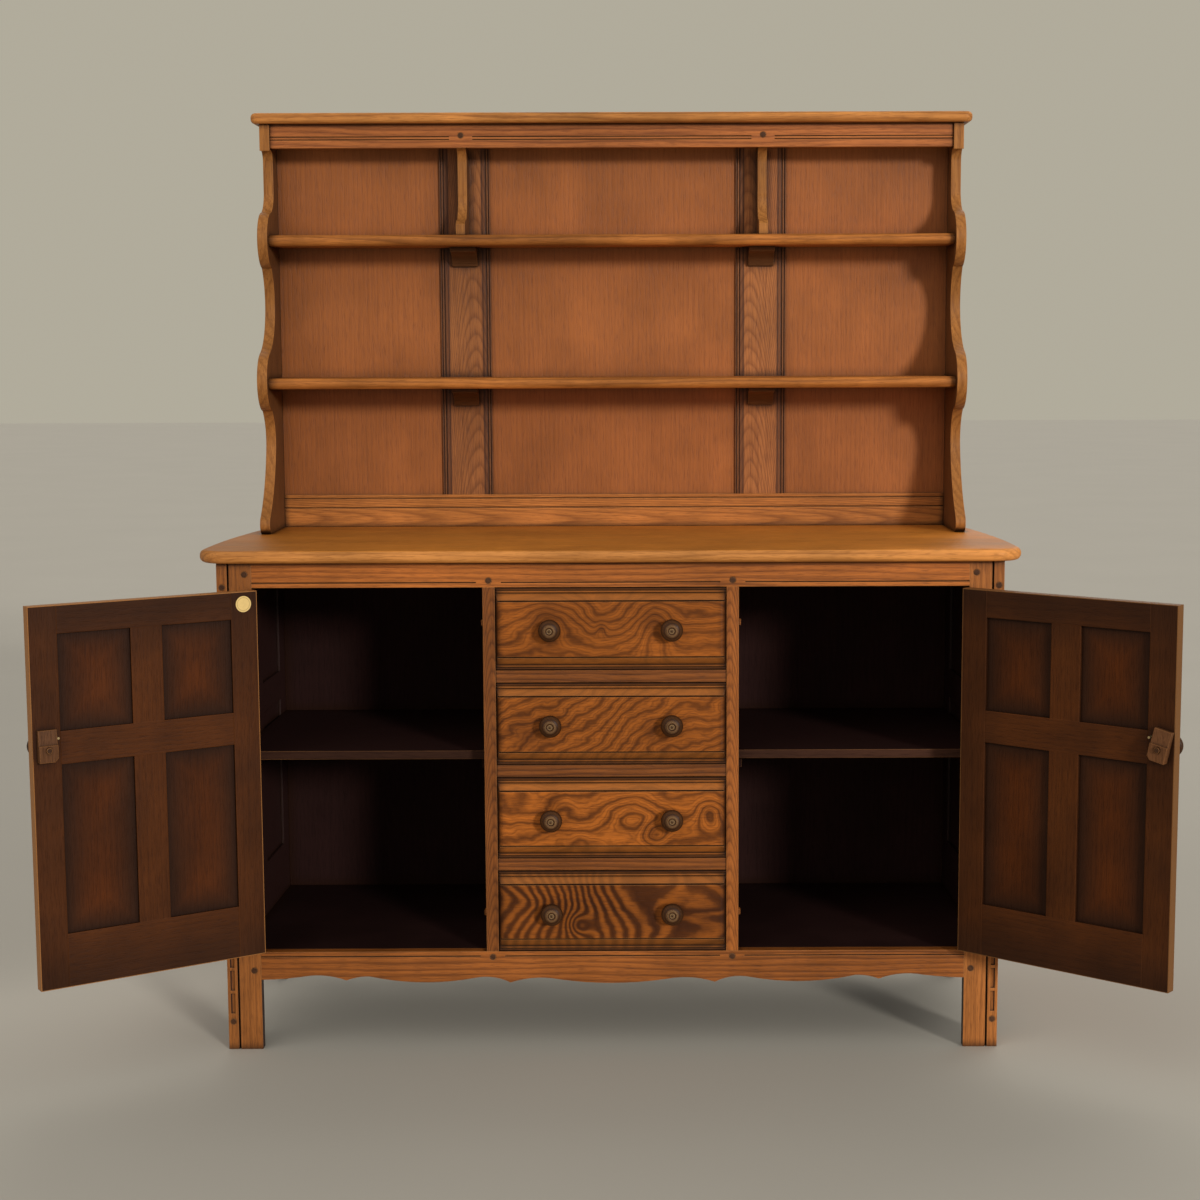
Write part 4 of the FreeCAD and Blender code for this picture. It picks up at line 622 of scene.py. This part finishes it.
class DRESSER_OT_rack(bpy.types.Operator):
    """Finish the plate rack: golden shelves and sides, and a redder back"""

    bl_idname = "dresser.rack"
    bl_label = "Plate rack"

    def execute(self, context):
        woods = context.scene.dresser_woods
        golden = (woods.golden_light, woods.golden_dark)
        pale = (woods.pale_light, woods.golden_dark)
        back = (woods.panel_light, woods.panel_dark)
        upright = (woods.muntin_light, woods.panel_dark)
        stain = (woods.rubbed_stain, woods.stain_dark)
        finish_boards(context, (
            (RACK_SHELVES, "golden_long", "x", SHELF_LOOK, golden, None),
            (("rack_cornice",), "golden_cornice", "x", CORNICE_LOOK, pale, None),
            # Painted shade on the faces of the rack's sides that look to its middle.
            (RACK_UPRIGHT, "golden_upright", "z", RACK_SIDE_LOOK, pale, inner_side_shade),
            (("rack_frieze",), "rack_frieze", "x", FRIEZE_LOOK, back, None),
            (("rack_bottom_rail",), "rack_rail", "x", RACK_RAIL_LOOK, golden, None),
            # Painted shade as dark lines in the muntins' modelled grooves.
            (("rack_muntins",), "rack_upright", "z", MUNTIN_LOOK, upright, muntin_moulding_shade),
            (("rack_back_panels",), "rack_panels", "z", PANEL_LOOK, back, None),
            (("rack_corbels",), "corbel_stain", "x", BUTTON_LOOK, stain, None),
        ))
        return {"FINISHED"}


class DRESSER_OT_inside(bpy.types.Operator):
    """Finish the cupboards' insides in dark stain"""

    bl_idname = "dresser.inside"
    bl_label = "Cupboard insides"

    def execute(self, context):
        woods = context.scene.dresser_woods
        stain = (woods.cupboard_stain_and_shade, woods.inside_dark)
        flat = (woods.inside_flat_shade, woods.inside_dark)
        edge = (woods.lit_shelf_edge, woods.inside_dark)
        elm = (woods.elm_light, woods.elm_dark)
        finish_boards(context, (
            (("rear_rails",), "inside_x", "x", INSIDE_LOOK, stain, None),
            (INSIDE_UPRIGHT, "inside_z", "z", INSIDE_LOOK, stain, None),
            (INSIDE_DEEP, "inside_y", "y", INSIDE_LOOK, stain, None),
            (("base_floor",), "inside_floor", "x", INSIDE_LOOK, flat, None),
            (("door_stops",), "stop_wood", "x", QUIET_LOOK, elm, None),
        ))
        # Painted light on the cupboard shelves' front edges, partly wear; their other faces are painted
        # darker as shade.
        mask = {"hidden": not_front, "stain": woods.inside_flat_shade}
        finish(("cupboard_shelves",), plain_wood(context, "inside_shelf", "x", INSIDE_LOOK, *edge, **mask))
        return {"FINISHED"}


def door_place(recipe, word):
    """A point's place on its door as if shut, measured from the hinge pin."""
    moved = recipe.vector("SUBTRACT", recipe.position, DOOR_PINS[word])
    turned = {"Vector": moved, "Rotation": (0.0, 0.0, DOOR_TURNS[word])}
    return recipe.add("ShaderNodeMapping", turned).outputs[0]


def within(recipe, value, span):
    """1 between two limits, 0 outside them."""
    over = recipe.math("GREATER_THAN", value, span[0])
    under = recipe.math("LESS_THAN", value, span[1])
    return recipe.math("MULTIPLY", over, under)


def scaled(paint, share):
    """A colour with full cover, made darker or lighter by a share."""
    return opaque([part * share for part in paint])


def door_glow(recipe, across, up, piece):
    """How far a point of a door's inner face is from the dark shaded edges, from 0 to 1."""
    if piece == "panels":
        folded = recipe.math("ABSOLUTE", recipe.math("SUBTRACT", across, DOOR_WIDTH * HALF))
        sideways = edge_distance(recipe, folded, *PANEL_COLUMN)
        rows = [edge_distance(recipe, up, *band) for band in PANEL_BANDS]
        upward = recipe.math("MAXIMUM", *rows)
        glow = recipe.step(recipe.math("MINIMUM", sideways, upward), *PANEL_GLOW)
    else:
        sideways = edge_distance(recipe, across, 0.0, DOOR_WIDTH)
        upward = edge_distance(recipe, up, DOOR_BOTTOM, DOOR_TOP)
        beside = recipe.ranged(recipe.step(sideways, *FRAME_GLOW), STILE_GLOW_SHARE, 1.0)
        over = recipe.ranged(recipe.step(upward, *FRAME_GLOW), RAIL_GLOW_SHARE, 1.0)
        glow = recipe.math("MINIMUM", beside, over)
    cloud = recipe.noise(recipe.position, GLOW_STRETCH, COARSE_DETAIL)
    return recipe.math("MULTIPLY", glow, recipe.ranged(cloud, *GLOW_SWING_SHARES))


def edge_distance(recipe, value, low, high):
    """How far a value is inside a span, from the nearer end."""
    aside = recipe.math("ABSOLUTE", recipe.math("SUBTRACT", value, HALF * (low + high)))
    return recipe.math("SUBTRACT", HALF * (high - low), aside)


def door_wood(context, word, piece):
    """A door's finish: stain on the inner half, elm on the outer half and bare wood round the rim."""
    woods = context.scene.dresser_woods
    recipe = Recipe(f"{word}_door_{piece}")
    place = door_place(recipe, word)
    sideways, deep, up = recipe.parts(place)
    across = recipe.math("ABSOLUTE", sideways)
    standing = recipe.joined(up, across, deep)
    lying = recipe.joined(across, up, deep)
    grain = standing
    if piece == "rails":
        muntin = recipe.math("MAXIMUM", *(within(recipe, up, band) for band in PANEL_BANDS))
        grain = recipe.mix(muntin, lying, standing)
    inner = recipe.step(deep, DOOR_MIDDLE - DOOR_SOFT, DOOR_MIDDLE + DOOR_SOFT)
    share = DOOR_SHARES[word]
    glow = door_glow(recipe, across, up, piece)
    middle = woods.panel_stain if piece == "panels" else woods.stain_light
    stain = recipe.mix(glow, scaled(woods.stain_edge, share), scaled(middle, share))
    phase = ring_phase(recipe, grain, STAIN_LOOK)
    inside, _ = wood(recipe, grain, phase, STAIN_LOOK, stain, scaled(woods.stain_dark, share))
    outside, height = wood(recipe, grain, phase, DOOR_LOOK, opaque(woods.elm_light), opaque(woods.elm_dark))
    core = recipe.math(
        "MULTIPLY",
        within(recipe, across, (DOOR_HINGE_EDGE + DOOR_EDGE, DOOR_WIDTH - DOOR_EDGE)),
        within(recipe, up, (DOOR_BOTTOM + DOOR_EDGE, DOOR_TOP - DOOR_EDGE)),
    )
    faces = recipe.mix(inner, outside, inside)
    paint = recipe.mix(core, scaled(woods.elm_worn, RIM_SHARES[word]), faces)
    return waxed(recipe, paint, height, context, STAIN_LOOK, woods.elm_light)


class DRESSER_OT_doors(bpy.types.Operator):
    """Finish the doors: dark stain inside, elm outside and at the edges"""

    bl_idname = "dresser.doors"
    bl_label = "Doors"

    def execute(self, context):
        woods = context.scene.dresser_woods
        button = plain_wood(context, "button_stain", "z", BUTTON_LOOK, woods.rubbed_stain, woods.stain_dark)
        for word in SIDES:
            for piece in ("stiles", "rails", "panels"):
                finish((f"{word}_door_{piece}",), door_wood(context, word, piece))
            finish((f"{word}_turn_button",), button)
        return {"FINISHED"}


def mound(recipe, flat, across, up, reach_across, reach_up):
    """A smooth mound of height 1 on a drawer front."""
    offset = recipe.vector("SUBTRACT", flat, (across, 0.0, up))
    share = recipe.vector("DIVIDE", offset, (reach_across, 1.0, reach_up))
    fall = recipe.math("MULTIPLY", recipe.vector("DOT_PRODUCT", share, share), -1.0)
    return recipe.math("EXPONENT", fall)


def strips(recipe, woods, paint, flat, inset):
    """Straight wood on the moulded strips of a drawer front, painted paler as if catching the light, with
    painted shade as dark lines in their hollows.
    """
    strip = recipe.step(inset, STRIP_HEIGHT, STRIP_HEIGHT - STRIP_SOFT)
    # Painted light: the strips are paler, the upper one most, as if lit from above; the dark lines are
    # painted shade in the hollows.
    tones = [scaled(woods.golden_light, share) for share in STRIP_LIGHT_TONE_SHARES]
    tone = recipe.mix(recipe.math("GREATER_THAN", recipe.parts(flat)[2], 0.0), *tones)
    plain = recipe.mix(recipe.math("MULTIPLY", strip, STRIP_LIGHT_SHARE), paint, tone)
    lines = recipe.curve(recipe.math("DIVIDE", inset, STRIP_HEIGHT), STRIP_SHADE_STOPS)
    dark = recipe.math("MULTIPLY", recipe.math("MULTIPLY", lines, strip), STRIP_SHADE_LINE_SHARE)
    return recipe.mix(dark, plain, opaque(woods.patina_and_shade))


def figured_wood(context, number):
    """The finish of one drawer front, with its own figure of rings and knots."""
    woods = context.scene.dresser_woods
    figure = FIGURES[number]
    recipe = Recipe(f"figured_{number + 1}")
    low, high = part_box(f"drawer_{number + 1}_front")
    middle = HALF * (low[2] + high[2])
    centred = recipe.vector("SUBTRACT", recipe.position, (0.0, 0.0, middle))
    flat = recipe.vector("MULTIPLY", centred, (1.0, 0.0, 1.0))
    wiggle = recipe.math("SUBTRACT", recipe.noise(recipe.position, WIGGLE_STRETCH, FINE_DETAIL), HALF)
    lean = recipe.vector("DOT_PRODUCT", flat, figure["lean"])
    phase = recipe.math("MULTIPLY_ADD", wiggle, figure["wiggle"], lean)
    for *shape, rings in figure["hills"]:
        phase = recipe.math("MULTIPLY_ADD", mound(recipe, flat, *shape), rings, phase)
    look = {**FIGURED_LOOK, "rings": figure["rings"]}
    stops = FIGURE_STOPS
    if "bold" in figure:
        look.pop("fine")
        stops = BOLD_STOPS
    light = scaled(woods.figured_light, figure["tone"])
    dark = opaque(woods.figured_dark)
    paint, height = wood(recipe, board(recipe, "x"), phase, look, light, dark, stops)
    for across, up, reach in figure["knots"]:
        knot = recipe.math("MULTIPLY", mound(recipe, flat, across, up, reach, reach), KNOT_SHARE)
        paint = recipe.mix(knot, paint, dark)
    sideways, _, upward = recipe.parts(recipe.vector("ABSOLUTE", flat))
    paint = strips(recipe, woods, paint, flat, recipe.math("SUBTRACT", high[2] - middle, upward))
    # Painted shade with old wax at the drawer's rounded ends, and a dark rim round its edges where the
    # gap's shade falls.
    dull_shade = recipe.step(sideways, high[0] - END_SHADE[0], high[0] - END_SHADE[1])
    paint = recipe.mix(recipe.math("MULTIPLY", dull_shade, END_SHADE_SHARE), paint, opaque(woods.patina_and_shade))
    ends = recipe.step(sideways, high[0] - RIM_SHADE[0], high[0] - RIM_SHADE[1])
    sides = recipe.step(upward, high[2] - middle - RIM_SHADE[0], high[2] - middle - RIM_SHADE[1])
    rim = recipe.math("MULTIPLY", recipe.math("MAXIMUM", ends, sides), RIM_SHADE_SHARE)
    rim_shaded = recipe.mix(rim, paint, opaque(woods.patina_and_shade))
    return waxed(recipe, rim_shaded, height, context, look, woods.elm_worn, rim)


class DRESSER_OT_drawers(bpy.types.Operator):
    """Finish the drawers: figured fronts and plain boxes"""

    bl_idname = "dresser.drawers"
    bl_label = "Drawers"

    def execute(self, context):
        woods = context.scene.dresser_woods
        boxes = plain_wood(context, "drawer_box", "y", BOX_LOOK, woods.box_light, woods.box_dark)
        for number in range(len(FIGURES)):
            finish((f"drawer_{number + 1}_front",), figured_wood(context, number))
            finish((f"drawer_{number + 1}_box",), boxes)
        return {"FINISHED"}


def metal(name, paint, rough, shine):
    """A worn metal with cloudy tarnish."""
    recipe = Recipe(name)
    cloud = recipe.noise(recipe.position, TARNISH_STRETCH, COARSE_DETAIL)
    tarnish = recipe.mix(recipe.ranged(cloud, 0.0, HALF), opaque(paint), scaled(paint, TARNISH_SHARE))
    roughness = recipe.ranged(cloud, *rough)
    return recipe.close({"Base Color": tarnish, "Metallic": shine, "Roughness": roughness})


def knob_radius(recipe):
    """How far a point is from the middle of its drawer knob, as a share of the knob's radius."""
    sideways, _, up = recipe.parts(recipe.position)
    low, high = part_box("drawer_4_front")
    lowest = HALF * (low[2] + high[2])
    wrapped = recipe.math("WRAP", up, lowest + DRAWER_STEP * HALF, lowest - DRAWER_STEP * HALF)
    height = recipe.math("SUBTRACT", wrapped, lowest)
    across = recipe.math("SUBTRACT", recipe.math("ABSOLUTE", sideways), KNOB_PLACE)
    return recipe.math("DIVIDE", recipe.vector("LENGTH", recipe.joined(across, 0.0, height)), KNOB_RADIUS)


def knob_wood(context):
    """The drawer knobs' finish: painted shade in the turned grooves, and rubbed rings with painted
    highlights.
    """
    woods = context.scene.dresser_woods
    recipe = Recipe("drawer_knob_wood")
    place = board(recipe, "y")
    phase = ring_phase(recipe, place, KNOB_LOOK)
    paint, height = wood(recipe, place, phase, KNOB_LOOK, opaque(woods.knob_light), opaque(woods.knob_dark))
    radius = knob_radius(recipe)
    # Painted shade in the turned grooves and painted highlights on the rubbed rings.
    grooves = recipe.math("MULTIPLY", recipe.curve(radius, KNOB_GROOVE_SHADE_STOPS), KNOB_GROOVE_SHADE_SHARE)
    grooved = recipe.mix(grooves, paint, opaque(woods.patina_and_shade))
    rubbed = recipe.mix(recipe.curve(radius, KNOB_RUB_AND_HIGHLIGHT_STOPS), grooved, opaque(woods.knob_worn_and_lit))
    return waxed(recipe, rubbed, height, context, KNOB_LOOK, woods.knob_worn_and_lit, grooves)


def brass_disc(context):
    """The brass disc's finish, with a dark turned line inside its rim."""
    woods = context.scene.dresser_woods
    recipe = Recipe("brass_disc")
    low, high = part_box("left_door_medallion")
    middle = [HALF * (start + stop) for start, stop in zip(low, high)]
    offset = recipe.vector("SUBTRACT", recipe.position, middle)
    radius = recipe.math("DIVIDE", recipe.vector("LENGTH", offset), HALF * (high[2] - low[2]))
    cloud = recipe.noise(recipe.position, TARNISH_STRETCH, COARSE_DETAIL)
    clouds = recipe.ranged(cloud, *DISC_CLOUD_SHARES)
    lines = recipe.math("MAXIMUM", recipe.curve(radius, DISC_STOPS), clouds)
    paint = recipe.mix(lines, opaque(woods.brass), scaled(woods.brass, TARNISH_SHARE))
    roughness = recipe.ranged(cloud, *BRASS_ROUGHNESS)
    return recipe.close({"Base Color": paint, "Metallic": BRASS_SHINE, "Roughness": roughness})


class DRESSER_OT_fittings(bpy.types.Operator):
    """Finish the knobs, pegs, hinges and brass"""

    bl_idname = "dresser.fittings"
    bl_label = "Knobs, pegs and metal"

    def execute(self, context):
        woods = context.scene.dresser_woods
        finish([f"drawer_{number + 1}_knobs" for number in range(len(FIGURES))], knob_wood(context))
        latch = plain_wood(context, "latch_knob_wood", "y", KNOB_LOOK, woods.knob_dark, woods.peg_dark)
        finish([f"{word}_door_knob" for word in SIDES], latch)
        pegs = plain_wood(context, "peg_wood", "y", QUIET_LOOK, woods.peg_light, woods.peg_dark)
        finish(("frame_pegs",), pegs)
        steel = metal("hinge_steel", woods.steel, STEEL_ROUGHNESS, STEEL_SHINE)
        brass = metal("worn_brass", woods.pin_brass, BRASS_ROUGHNESS, BRASS_SHINE)
        finish(["frame_hinges"] + [f"{word}_door_hinge_leaves" for word in SIDES], steel)
        finish([f"{word}_door_stop_pin" for word in SIDES], brass)
        finish(("left_door_medallion",), brass_disc(context))
        return {"FINISHED"}


class DRESSER_OT_stage(bpy.types.Operator):
    """Set up the floor, the backdrop colour, the lamps and the camera"""

    bl_idname = "dresser.stage"
    bl_label = "Floor, light and camera"

    def execute(self, context):
        stage = context.scene.dresser_stage
        context.scene.view_settings.view_transform = "Standard"
        add_floor(context, stage.floor)
        add_backdrop(context, stage.backdrop)
        add_lamps(context)
        add_camera(context, stage.lens)
        return {"FINISHED"}


# The floor, in metres, and the light from all round.
FLOOR_REACH = 30.0
FLOOR_STRETCH = (1.5, 1.5, 1.5)
FLOOR_CLOUD_SHARE = 0.06
FLOOR_DARK = (0.0, 0.0, 0.0)
FLOOR_ROUGHNESS = 0.9
FLOOR_GLOSS = 0.05
AMBIENT_COLOUR = (0.97, 0.98, 1.0, 1.0)
AMBIENT_LEVEL = 0.42


def add_floor(context, paint):
    """A wide plain floor under the feet."""
    shape = bmesh.new()
    bmesh.ops.create_grid(shape, x_segments=1, y_segments=1, size=FLOOR_REACH)
    mesh = bpy.data.meshes.new("floor")
    shape.to_mesh(mesh)
    shape.free()
    floor = bpy.data.objects.new("floor", mesh)
    context.scene.collection.objects.link(floor)
    recipe = Recipe("floor_paint")
    cloud = recipe.noise(recipe.position, FLOOR_STRETCH, FINE_DETAIL)
    shade = recipe.mix(recipe.ranged(cloud, 0.0, FLOOR_CLOUD_SHARE), opaque(paint), opaque(FLOOR_DARK))
    surface = {"Base Color": shade, "Roughness": FLOOR_ROUGHNESS, "Specular IOR Level": FLOOR_GLOSS}
    mesh.materials.append(recipe.close(surface))


def add_backdrop(context, paint):
    """Plain light from all round, with the backdrop's colour where the camera, gloss or glass sees it."""
    world = bpy.data.worlds.new("studio")
    context.scene.world = world
    world.use_nodes = True
    nodes, links = world.node_tree.nodes, world.node_tree.links
    nodes.clear()
    ambient = nodes.new("ShaderNodeBackground")
    ambient.inputs["Color"].default_value = AMBIENT_COLOUR
    ambient.inputs["Strength"].default_value = AMBIENT_LEVEL
    seen = nodes.new("ShaderNodeBackground")
    seen.inputs["Color"].default_value = opaque(paint)
    path = nodes.new("ShaderNodeLightPath")
    shown = path.outputs["Is Camera Ray"]
    for ray in ("Is Glossy Ray", "Is Transmission Ray"):
        either = nodes.new("ShaderNodeMath")
        either.operation = "MAXIMUM"
        links.new(shown, either.inputs[0])
        links.new(path.outputs[ray], either.inputs[1])
        shown = either.outputs[0]
    mix = nodes.new("ShaderNodeMixShader")
    links.new(shown, mix.inputs[0])
    links.new(ambient.outputs[0], mix.inputs[1])
    links.new(seen.outputs[0], mix.inputs[2])
    output = nodes.new("ShaderNodeOutputWorld")
    links.new(mix.outputs[0], output.inputs[0])


# Suns by their turn to the right of the front, rise over the floor, spread and power.
LAMPS = (
    {"name": "key", "turn": 32.0, "rise": 14.0, "spread": 9.0, "power": 1.82},
    {"name": "fill", "turn": -38.0, "rise": 32.0, "spread": 60.0, "power": 0.55},
    {"name": "back_fill", "turn": 160.0, "rise": 40.0, "spread": 60.0, "power": 0.8},
)


def add_lamps(context):
    """Soft lamps: the strongest from the right, as the shadows lie to the left."""
    for lamp in LAMPS:
        light = bpy.data.lights.new(lamp["name"], "SUN")
        light.angle = math.radians(lamp["spread"])
        light.energy = lamp["power"]
        turn = math.radians(lamp["turn"])
        rise = math.radians(lamp["rise"])
        level = math.cos(rise)
        towards = Vector((math.sin(turn) * level, -math.cos(turn) * level, math.sin(rise)))
        holder = bpy.data.objects.new(lamp["name"], light)
        holder.rotation_mode = "QUATERNION"
        holder.rotation_quaternion = (-towards).to_track_quat("-Z", "Y")
        context.scene.collection.objects.link(holder)


# The camera's place in metres, and its turns in radians.
CAMERA_PLACE = (0.06285, -3.8399, 1.2444)
CAMERA_PITCH = 0.1198
CAMERA_YAW = 0.0014
CAMERA_ROLL = -0.0032
CAMERA_SHIFT = (-0.04148, -0.0037)
MATRIX_SIZE = 4


def add_camera(context, lens):
    """The photograph's viewpoint, for a square picture."""
    camera = bpy.data.cameras.new("camera")
    camera.lens = lens
    camera.shift_x, camera.shift_y = CAMERA_SHIFT
    holder = bpy.data.objects.new("camera", camera)
    context.scene.collection.objects.link(holder)
    place = Matrix.Translation(CAMERA_PLACE)
    for angle, axis in ((-CAMERA_YAW, "Z"), (math.pi / 2 - CAMERA_PITCH, "X"), (CAMERA_ROLL, "Z")):
        place = place @ Matrix.Rotation(angle, MATRIX_SIZE, axis)
    holder.matrix_world = place
    context.scene.camera = holder


OPERATORS = (
    DRESSER_OT_frame,
    DRESSER_OT_worktop,
    DRESSER_OT_rack,
    DRESSER_OT_inside,
    DRESSER_OT_doors,
    DRESSER_OT_drawers,
    DRESSER_OT_fittings,
    DRESSER_OT_stage,
)


class DRESSER_PT_panel(bpy.types.Panel):
    """The dresser's finish in the 3D view's sidebar"""

    bl_idname = "DRESSER_PT_panel"
    bl_label = "Kitchen dresser"
    bl_space_type = "VIEW_3D"
    bl_region_type = "UI"
    bl_category = "Dresser"

    def draw(self, context):
        for operator in OPERATORS:
            self.layout.operator(operator.bl_idname)
        for title in GROUPS:
            group = getattr(context.scene, title)
            box = self.layout.box()
            for name in group.__annotations__:
                box.prop(group, name)


GROUPS = {"dresser_woods": DresserWoods, "dresser_details": DresserDetails, "dresser_stage": DresserStage}


def register():
    for group in GROUPS.values():
        bpy.utils.register_class(group)
    for operator in OPERATORS:
        bpy.utils.register_class(operator)
    bpy.utils.register_class(DRESSER_PT_panel)
    for name, group in GROUPS.items():
        setattr(bpy.types.Scene, name, bpy.props.PointerProperty(type=group))


def unregister():
    for name in GROUPS:
        delattr(bpy.types.Scene, name)
    bpy.utils.unregister_class(DRESSER_PT_panel)
    for operator in reversed(OPERATORS):
        bpy.utils.unregister_class(operator)
    for group in reversed(tuple(GROUPS.values())):
        bpy.utils.unregister_class(group)


def main():
    register()
    bpy.ops.dresser.frame()
    bpy.ops.dresser.worktop()
    bpy.ops.dresser.rack()
    bpy.ops.dresser.inside()
    bpy.ops.dresser.doors()
    bpy.ops.dresser.drawers()
    bpy.ops.dresser.fittings()
    bpy.ops.dresser.stage()


if __name__ == "__main__":
    main()
